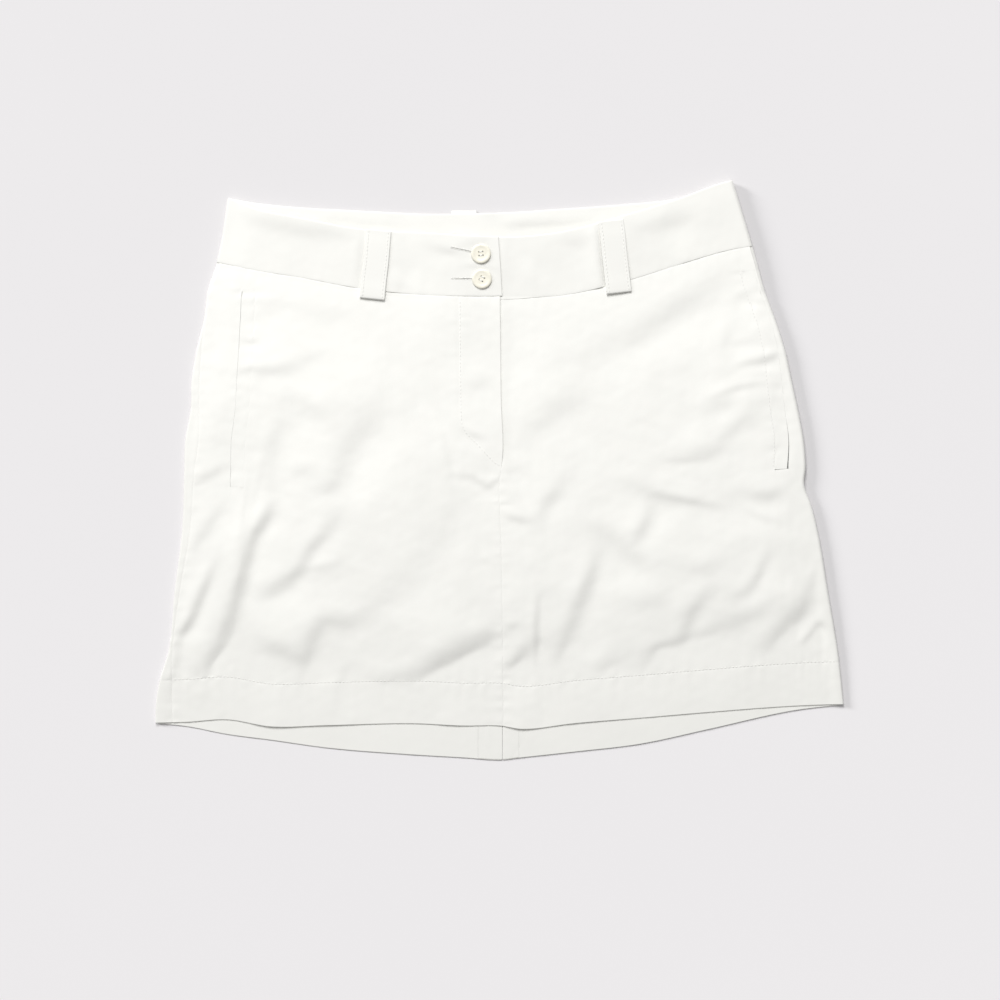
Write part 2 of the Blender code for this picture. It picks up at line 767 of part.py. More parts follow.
def make_bag(side, name):
    """One flat layer of the pocket's bag, under the slit and inwards from it."""
    outer = []
    for y in BAG_ROWS:
        w = max(PANELS.quarter + 1.0, side.slit(y) - BAG_OUTSIDE)
        outer.append(Vector((PANELS.plan(side, w, y), y, 0)))
    foot = outer[-1] + Vector((0, BAG_END - outer[-1].y, 0))
    inner_x = outer[0].x - side.sign * BAG_DEPTH
    corner = Vector((inner_x + side.sign * BAG_CORNER, BAG_END + BAG_CORNER, 0))
    arc = [corner + Vector((-side.sign * math.sin(a), -math.cos(a), 0)) * BAG_CORNER
           for a in (math.radians(15 * k) for k in range(7))]
    outline = outer + [foot] + arc + [Vector((inner_x, BAG_TOP, 0))]
    shape = bmesh.new()
    bottom = [shape.verts.new((p + Vector((0, 0, BAG_LEVEL - CLOTH / 2))) * MM)
              for p in outline]
    face = shape.faces.new(bottom)
    raised = bmesh.ops.extrude_face_region(shape, geom=[face])["geom"]
    for vert in (v for v in raised if isinstance(v, bmesh.types.BMVert)):
        vert.co.z += CLOTH * MM
    bmesh.ops.recalc_face_normals(shape, faces=shape.faces)
    mesh = bpy.data.meshes.new(name)
    shape.to_mesh(mesh)
    shape.free()
    return add_object(name, mesh, finish("pocketing", POCKETING, 0.85))


# ---- Fly zip ---------------------------------------------------------------------
def make_fly_zip():
    """A closed zip's tape between the underlap and the flap."""
    surface = Surface(RIGHT, PANELS, right_front_level, back_level)
    columns = [lambda y, x=x: PANELS.girth(RIGHT, x, y) for x in ZIP_COLUMNS]
    top = (less(right_seam, GAP / 2), less(back_seam, GAP / 2))
    grid = panel_grid(surface, columns, top, (front_hem, back_hem))
    grid = grid[:UNDERLAP_END_ROW + 1]
    rise = FLAP_OVER_UNDERLAP / 2
    grid[0] = [(p - Vector((0, ZIP_TOP_GAP, 0)), n) for p, n in grid[0]]
    grid = [[(p + n * rise, n) for p, n in row] for row in grid]
    return wall("fly_zip", grid, TAPE, finish("zip_tape", TWILL, 0.8))


# ---- Belt loops ------------------------------------------------------------------
def strap_wall(name, path, facings, across):
    """A flat strap along a path, with the direction that its face looks in."""
    half = across.normalized() * STRAP_WIDTH / 2
    grid = [[(point + half * side, facing) for side in (-1, 0, 1)]
            for point, facing in zip(path, facings)]
    return wall(name, grid, STRAP, twill())


def make_front_loop(strap):
    """A loop that stands off the band and is folded under at its lower end."""
    top = Vector((strap.x_top, strap.y_top, SEWN_LEVEL))
    end = Vector((strap.x_end, strap.y_end, SEWN_LEVEL))
    run = (end - top).normalized()
    up = Vector((0, 0, 1))
    path = [lerp(top, end, arch.share) + up * arch.rise for arch in LOOP_ARCH]
    facings = [up] * len(path)
    turn = LOOP_ARCH[-1].rise / 2
    centre = path[-1] - up * turn
    for degrees in TURN_ANGLES:
        angle = math.radians(degrees)
        facing = up * math.cos(angle) + run * math.sin(angle)
        path.append(centre + facing * turn)
        facings.append(facing)
    path.append(path[-1] - run * LOOP_RETURN)
    facings.append(-up)
    return strap_wall(strap.name, path, facings, run.cross(up))


def make_back_loop():
    """A loop flat on the table, with the back band over it."""
    path = [Vector((BACK_LOOP_X, y, STRAP / 2)) for y in BACK_LOOP_ROWS]
    facings = [Vector((0, 0, 1))] * len(path)
    return strap_wall("belt_loop_back", path, facings, Vector((1, 0, 0)))


# ---- Buttons and buttonholes -----------------------------------------------------
def ring(shape, radius, height):
    return [shape.verts.new((radius * math.cos(a), radius * math.sin(a), height))
            for a in (2 * math.pi * k / BUTTON_SIDES for k in range(BUTTON_SIDES))]


def cutter(name, mesh, target):
    """A hidden shape that a Boolean takes out of the target."""
    made = bpy.data.objects.new(name, mesh)
    bpy.context.scene.collection.objects.link(made)
    made.parent = SKIRT
    made.hide_render = True
    made.display_type = "WIRE"
    cut = target.modifiers.new(name, "BOOLEAN")
    cut.operation = "DIFFERENCE"
    cut.solver = "EXACT"
    cut.object = made
    return made


def button_mesh(name):
    """A disc with a raised rim and a sunk middle, turned from its profile."""
    shape = bmesh.new()
    rings = [ring(shape, r.radius * BUTTON_RADIUS * MM, r.height * BUTTON_HEIGHT * MM)
             for r in BUTTON_PROFILE]
    for a, b in zip(rings, rings[1:]):
        for k in range(BUTTON_SIDES):
            n = (k + 1) % BUTTON_SIDES
            shape.faces.new((a[k], b[k], b[n], a[n]))
    shape.faces.new(rings[0])
    shape.faces.new(rings[-1])
    bmesh.ops.recalc_face_normals(shape, faces=shape.faces)
    mesh = bpy.data.meshes.new(name)
    shape.to_mesh(mesh)
    shape.free()
    return mesh


def make_button(button):
    """A four-hole button, resting on the tab."""
    made = add_object(button.name, button_mesh(button.name), finish("pearl", PEARL, 0.3))
    made.location = Vector((button.x, button.y, TAB_LEVEL + BAND / 2 + GAP)) * MM
    holes = bmesh.new()
    for k in range(4):
        angle = math.radians(45 + 90 * k + button.turn)
        place = Vector((math.cos(angle), math.sin(angle), 0)) * HOLE_PITCH / math.sqrt(2)
        made_hole = bmesh.ops.create_cone(
            holes, cap_ends=True, segments=10, radius1=HOLE_RADIUS * MM,
            radius2=HOLE_RADIUS * MM, depth=4 * BUTTON_HEIGHT * MM)
        bmesh.ops.translate(holes, vec=place * MM, verts=made_hole["verts"])
    mesh = bpy.data.meshes.new(button.name + "_holes")
    holes.to_mesh(mesh)
    holes.free()
    cutter(button.name + "_holes", mesh, made).location = made.location
    return made


def cut_buttonhole(band, button):
    """A slit through the tab, from left of the button to just past its middle."""
    shape = bmesh.new()
    bmesh.ops.create_cube(shape, size=1.0)
    length = SLIT_START + SLIT_END
    bmesh.ops.scale(shape, vec=Vector((length, SLIT_WIDTH, 8 * BAND)) * MM, verts=shape.verts)
    mesh = bpy.data.meshes.new(button.name + "_slit")
    shape.to_mesh(mesh)
    shape.free()
    made = cutter(button.name + "_slit", mesh, band)
    slope = math.radians(button.slit_slope)
    back = (SLIT_START - SLIT_END) / 2
    middle = Vector((button.x - back * math.cos(slope), button.y - back * math.sin(slope)))
    made.location = Vector((middle.x, middle.y, TAB_LEVEL)) * MM
    made.rotation_euler.z = slope


# ---- The whole skirt -------------------------------------------------------------
def clear_scene():
    for thing in list(bpy.data.objects):
        bpy.data.objects.remove(thing, do_unlink=True)


clear_scene()
SKIRT = bpy.data.objects.new("skirt", None)
bpy.context.scene.collection.objects.link(SKIRT)

make_front_left()
make_front_right()
make_back(LEFT, "back_left", LEFT_BACK_SHARES)
make_back(RIGHT, "back_right", RIGHT_BACK_SHARES)
tab = make_waistband_front_left()
make_waistband_front_right()
make_waistband_back()
make_welt(LEFT, "pocket_welt_left", left_front_level)
make_welt(RIGHT, "pocket_welt_right", right_front_level)
make_bag(LEFT, "pocket_bag_left")
make_bag(RIGHT, "pocket_bag_right")
make_fly_zip()
for loop in FRONT_LOOPS:
    make_front_loop(loop)
make_back_loop()
for fastening in BUTTONS:
    make_button(fastening)
    cut_buttonhole(tab, fastening)
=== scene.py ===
"""The looks of a golf skirt of off-white cotton twill, laid flat with its front up.

Sizes and tables are in millimetres, as in the part's source: x to the viewer's right, y
towards the waist, z up from the table. Left and right are the viewer's. Every piece of
cloth is a thin closed wall on the form of its solid, with creases, puckers and seams.
"""
import math
import random
from collections import namedtuple

import bmesh
import bpy
import numpy as np
from mathutils import Matrix, Vector


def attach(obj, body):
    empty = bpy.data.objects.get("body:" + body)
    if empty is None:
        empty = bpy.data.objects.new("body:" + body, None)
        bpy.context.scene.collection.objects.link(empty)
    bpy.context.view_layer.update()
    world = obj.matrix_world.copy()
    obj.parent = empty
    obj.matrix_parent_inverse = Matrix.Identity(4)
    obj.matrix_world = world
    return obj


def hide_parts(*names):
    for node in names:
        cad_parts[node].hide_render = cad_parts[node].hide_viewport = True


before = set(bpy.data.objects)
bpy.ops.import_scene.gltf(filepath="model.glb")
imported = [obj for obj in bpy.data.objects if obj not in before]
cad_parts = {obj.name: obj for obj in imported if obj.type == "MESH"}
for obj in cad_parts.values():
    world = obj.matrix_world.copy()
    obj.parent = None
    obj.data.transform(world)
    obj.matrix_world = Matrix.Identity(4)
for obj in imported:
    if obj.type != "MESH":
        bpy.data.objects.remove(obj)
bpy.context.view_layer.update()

MM = 0.001

# ---- Thicknesses, and levels that the solids have ----------------------------------
CLOTH = 0.5
BAND = 1.7
STRAP = 1.0
TAPE = 0.4
WELT = 1.5
BAG = 0.5
GAP = 0.03
# How close pieces lie that rest on each other.
CLOSE = 0.05

CAD_CLOTH = 1.0
CAD_RADIUS = 2.0
FRONT_LEVEL = 4.3
BACK_LEVEL = 0.3
BAND_FRONT_LEVEL = 4.9
BAND_BACK_LEVEL = 1.0
BAND_SLIM = 0.05
BAND_OVER_LOOP = 1.95
UNDERLAP_BAND = 5.0
TAB_LEVEL = UNDERLAP_BAND + BAND + CLOSE
# The tab grows thinner towards its end, and the whole front band tilts up a little.
TAB_THIN = 0.75
TAB_THINS = (-36.0, 28.0)
BAND_TILT = 1.3
TILT_STARTS = 30.0
# A band's face stands this far over the panels' at their seam.
BAND_STEP = 0.15

# ---- Where the levels change: from, and over what length ---------------------------
TAB_RISE = (-78.0, 36.0)
UNDERLAP_RISE = (45.0, -40.0)
LOOP_RISE = (46.0, -34.0)
FRONT_FALL = 60.0
BACK_FALL = (8.0, 37.0)
FLAP_RISE = (-52.0, 16.0)
# The right front dips towards the fly's edge, and again beneath the flap.
BESIDE_FLY = (46.0, -42.0)
BESIDE_FLY_DEPTH = 0.6
# It is highest right beside the fly's edge, and so is the band beside the tab's end.
SHOULDER = (1.0, 9.0)
SHOULDER_ENDS = (49.0, -38.0)
SHOULDER_DEPTH = 0.55
SHOULDER_DEPTH_BAND = 0.45
UNDERLAP_DIP = (-1.0, -9.0)
UNDERLAP_DEPTH = 1.35
FLY_END = 0.0
FLY_FADE = 18.0
FLAP_LIFT = 0.3
# The flap is folded back on itself as far as its stitching.
FACING = 0.2
FACING_ACROSS = (-35.0, 4.0)
FACING_DOWN = (FLY_END, 9.0)
# The front's hem settles on the back's, over this length above its edge, and no trough
# of the front reaches lower than the layers beneath it.
HEM_LEVEL = 1.58
HEM_SETTLES = (88.0, -52.0)
HEM_LIES = (60.0, -24.0)
HEM_WAVES_REACH = (78.0, -60.0)
FRONT_LEAST = 1.4
FRONT_LEAST_SOFTNESS = 0.04
# Drape and crumple, and where the side folds, the band, the flap and the hem calm them.
DRAPE_HEIGHT = 0.5
CRUMPLE_HEIGHT = 0.13
FOLD_CALMS = 11.0
BAND_CALMS = 22.0
CREASES_START = 9.0
FLAP_CALM = 0.6
FLAP_ACROSS = ((-44.0, 16.0), (16.0, -12.0))
FLAP_DOWN = (-6.0, 18.0)
HEM_CALM = 0.4
HEM_CALMS = (17.0, 30.0)
# The same on the back.
BACK_DRAPE_HEIGHT = 0.25
BACK_CRUMPLE_HEIGHT = 0.2
BACK_SOFTNESS = 0.06
BACK_SUNK = 0.12
BACK_FOLD_CALMS = 14.0
BACK_BAND_CALMS = 30.0
BACK_HEM_CALMS = 40.0

# ---- Sizes in plan -----------------------------------------------------------------
HEM_DEPTH = 34.0
HEM_THIN = 0.36
HEM_PITCH = (CLOTH + HEM_THIN) / 2 + 0.02
TURN_RADIUS = HEM_PITCH / 2
TURN_REACH = TURN_RADIUS + CLOTH / 2
WELT_WIDTH = 11.0
UNDERLAP_WIDTH = 33.0
UNDERLAP_BAND_REACH = 40.0
FACING_WIDTH = {-1: 19.6, 1: 13.2}
CENTRE_BACK_X = 2.0
VENT_TOP = -132.0
VENT_OPENS = (-143.0, -4.0)
SEAM_STEP = 2.6
STRAP_WIDTH = 20.0
BAND_LENGTH = 46.0
BACK_LOOP_X = -28.8
POCKET_TOP_SHARE = 0.055
POCKET_END_SHARE = 0.533
POCKET_FADE = 0.02
UNDERLAP_END_SHARE = 0.39
VENT_TOP_SHARE = 0.86
FACING_END = 0.12

BUTTON_RADIUS = 7.8
BUTTON_HEIGHT = 1.6
HOLE_RADIUS = 0.62
HOLE_PITCH = 3.0
DISH = 0.8

# ---- Tables that the solids have ---------------------------------------------------
Section = namedtuple("Section", "y edge seam slit")
LEFT_SECTIONS = [
    Section(232, 215.4, 0.0, 28.0),
    Section(167, 226.4, 0.0, 28.0),
    Section(145, 233.6, 0.0, 28.8),
    Section(121, 236.8, 1.0, 30.2),
    Section(97, 242.4, 4.5, 34.5),
    Section(73, 246.4, 7.0, 37.0),
    Section(49, 247.2, 7.5, 36.6),
    Section(25, 251.6, 11.5, 37.8),
    Section(1, 252.4, 9.0, 38.0),
    Section(-47, 254.0, 7.0, 38.2),
    Section(-95, 260.0, 5.0, 39.0),
    Section(-143, 264.8, 3.5, 40.0),
    Section(-167, 272.0, 10.5, 44.0),
    Section(-183, 274.8, 13.4, 47.0),
    Section(-203, 275.4, 14.2, 48.0),
]
RIGHT_SECTIONS = [
    Section(232, 185.6, -28.0, 5.0),
    Section(193, 197.6, -28.0, 5.0),
    Section(167, 205.2, -28.0, 5.0),
    Section(145, 211.2, -28.0, 5.0),
    Section(121, 220.0, -26.0, 5.2),
    Section(97, 227.6, -24.0, 6.8),
    Section(73, 232.8, -22.0, 9.0),
    Section(49, 238.0, -20.0, 11.4),
    Section(25, 242.4, -18.0, 12.6),
    Section(3, 244.0, -16.0, 14.6),
    Section(-11, 243.0, -15.4, 13.6),
    Section(-27, 248.6, -14.4, 17.6),
    Section(-47, 253.6, -13.0, 20.8),
    Section(-95, 261.8, -10.0, 24.6),
    Section(-143, 269.8, -9.0, 28.6),
    Section(-167, 272.6, -8.0, 30.0),
    Section(-203, 276.24, -8.0, 34.0),
]

Waist = namedtuple("Waist", "x front_top front_seam back_top back_seam")
WAIST = [
    Waist(-230, 222.0, 167.6, 219.4, 167.6),
    Waist(-217, 218.6, 165.0, 218.2, 165.8),
    Waist(-194, 209.2, 160.2, 214.4, 163.6),
    Waist(-160, 202.4, 154.8, 211.0, 160.8),
    Waist(-112, 193.4, 146.0, 208.4, 157.4),
    Waist(-56, 190.0, 140.4, 205.8, 155.2),
    Waist(0, 186.8, 139.5, 206.8, 155.4),
    Waist(48, 190.8, 140.1, 209.8, 157.2),
    Waist(100, 204.4, 151.6, 213.6, 161.4),
    Waist(144, 218.0, 165.2, 218.8, 168.6),
    Waist(175, 229.6, 174.4, 229.4, 175.4),
    Waist(186, 232.4, 177.0, 232.4, 177.6),
    Waist(202, 238.0, 179.6, 237.0, 179.6),
]

Hem = namedtuple("Hem", "x front back")
HEM = [
    Hem(-276, -201.0, -201.4),
    Hem(-250, -200.4, -204.0),
    Hem(-218, -198.5, -210.2),
    Hem(-183, -204.0, -214.8),
    Hem(-137, -203.0, -221.2),
    Hem(-69, -201.6, -226.6),
    Hem(-28, -203.4, -229.0),
    Hem(0, -203.4, -230.8),
    Hem(18, -206.0, -228.8),
    Hem(60, -201.4, -224.2),
    Hem(112, -197.2, -218.0),
    Hem(166, -192.6, -206.4),
    Hem(234, -187.6, -191.4),
    Hem(276, -186.0, -186.4),
]

Fly = namedtuple("Fly", "y x")
TAB_END = [Fly(187, -1.2), Fly(164, 0.4), Fly(139, 1.8)]
FLY = [Fly(145, 0.0), Fly(60, 0.9), Fly(6, 1.6), Fly(0, 0.2), Fly(-60, 0.9),
       Fly(-170, 2.4), Fly(-205, 2.4)]

Strap = namedtuple("Strap", "name x_top y_top x_end y_end roll")
FRONT_LOOPS = [
    Strap("belt_loop_front_left", -96.4, 192.0, -101.8, 138.2, 0.1),
    Strap("belt_loop_front_right", 88.2, 199.6, 94.8, 143.0, -0.35),
]
Arch = namedtuple("Arch", "share rise")
LOOP_ARCH = [Arch(0.0, 0.0), Arch(0.06, 0.02), Arch(0.2, 0.24), Arch(0.5, 0.38),
             Arch(0.75, 0.6), Arch(0.88, 0.95), Arch(1.0, 1.08)]
LOOP_RETURN = 8.0
SEWN_LEVEL = BAND_FRONT_LEVEL + BAND / 2 + CLOSE + STRAP / 2
BACK_LOOP_TOP = 208.6
BACK_LOOP_END = 152.0

BAG_TOP = 150.0
BAG_END = -58.0
BAG_DEPTH = 88.0
BAG_CORNER = 52.0
BAG_OUTSIDE = 12.0
BAG_RISE = 1.1
BAG_FROM_FOLD = 16.0
BAG_ROWS = 40
BAG_CORNER_ROWS = 14
BAG_CORNER_TURN = (0.1, 1.5)
BAG_CRUMPLE = 0.15

Turned = namedtuple("Turned", "radius height")
BUTTON_PROFILE = [
    Turned(0.0, 0.78), Turned(0.46, DISH), Turned(0.58, 0.83), Turned(0.66, 0.90),
    Turned(0.74, 0.97), Turned(0.82, 1.0), Turned(0.90, 0.96), Turned(0.96, 0.84),
    Turned(1.0, 0.60), Turned(0.98, 0.36), Turned(0.90, 0.14), Turned(0.70, 0.0),
    Turned(0.0, 0.0)]
Button = namedtuple("Button", "name x y turn slit_slope")
BUTTONS = [
    Button("button_upper", -15.2, 173.2, 6.0, -12.0),
    Button("button_lower", -14.4, 153.2, -32.0, -1.0),
]
SLIT_START = 24.0
SLIT_END = 2.0

# ---- Tables of the looks -----------------------------------------------------------
# How round the side folds lie: the radius of the cloth's middle along each side.
Fold = namedtuple("Fold", "y radius")
LEFT_FOLDS = [Fold(232, 1.5), Fold(0, 1.4), Fold(-120, 1.3), Fold(-203, 1.1)]
RIGHT_FOLDS = [Fold(232, 2.7), Fold(100, 2.6), Fold(0, 2.3), Fold(-100, 2.0),
               Fold(-160, 1.5), Fold(-203, 1.1)]

# The left fold is pressed flatter, and the front rises from it over this length. The
# right one is rounder, and the front rises towards it from here on.
LEFT_FOLD_REACH = 22.0
RIGHT_FOLD_RISES = (-150.0, 300.0)

# How the front's hem waves: height of its edge along x.
Wave = namedtuple("Wave", "x height")
HEM_WAVES = [Wave(-262, 0), Wave(-240, 0.2), Wave(-212, 0), Wave(-184, 0.7),
             Wave(-158, 0.1), Wave(-136, 0.3), Wave(-96, 0), Wave(-66, 0),
             Wave(-38, 0.7), Wave(-18, 0), Wave(0, 0.2), Wave(15, 0.8),
             Wave(36, 0), Wave(66, 0.3), Wave(104, 0), Wave(150, 0.1),
             Wave(200, 0), Wave(262, 0)]

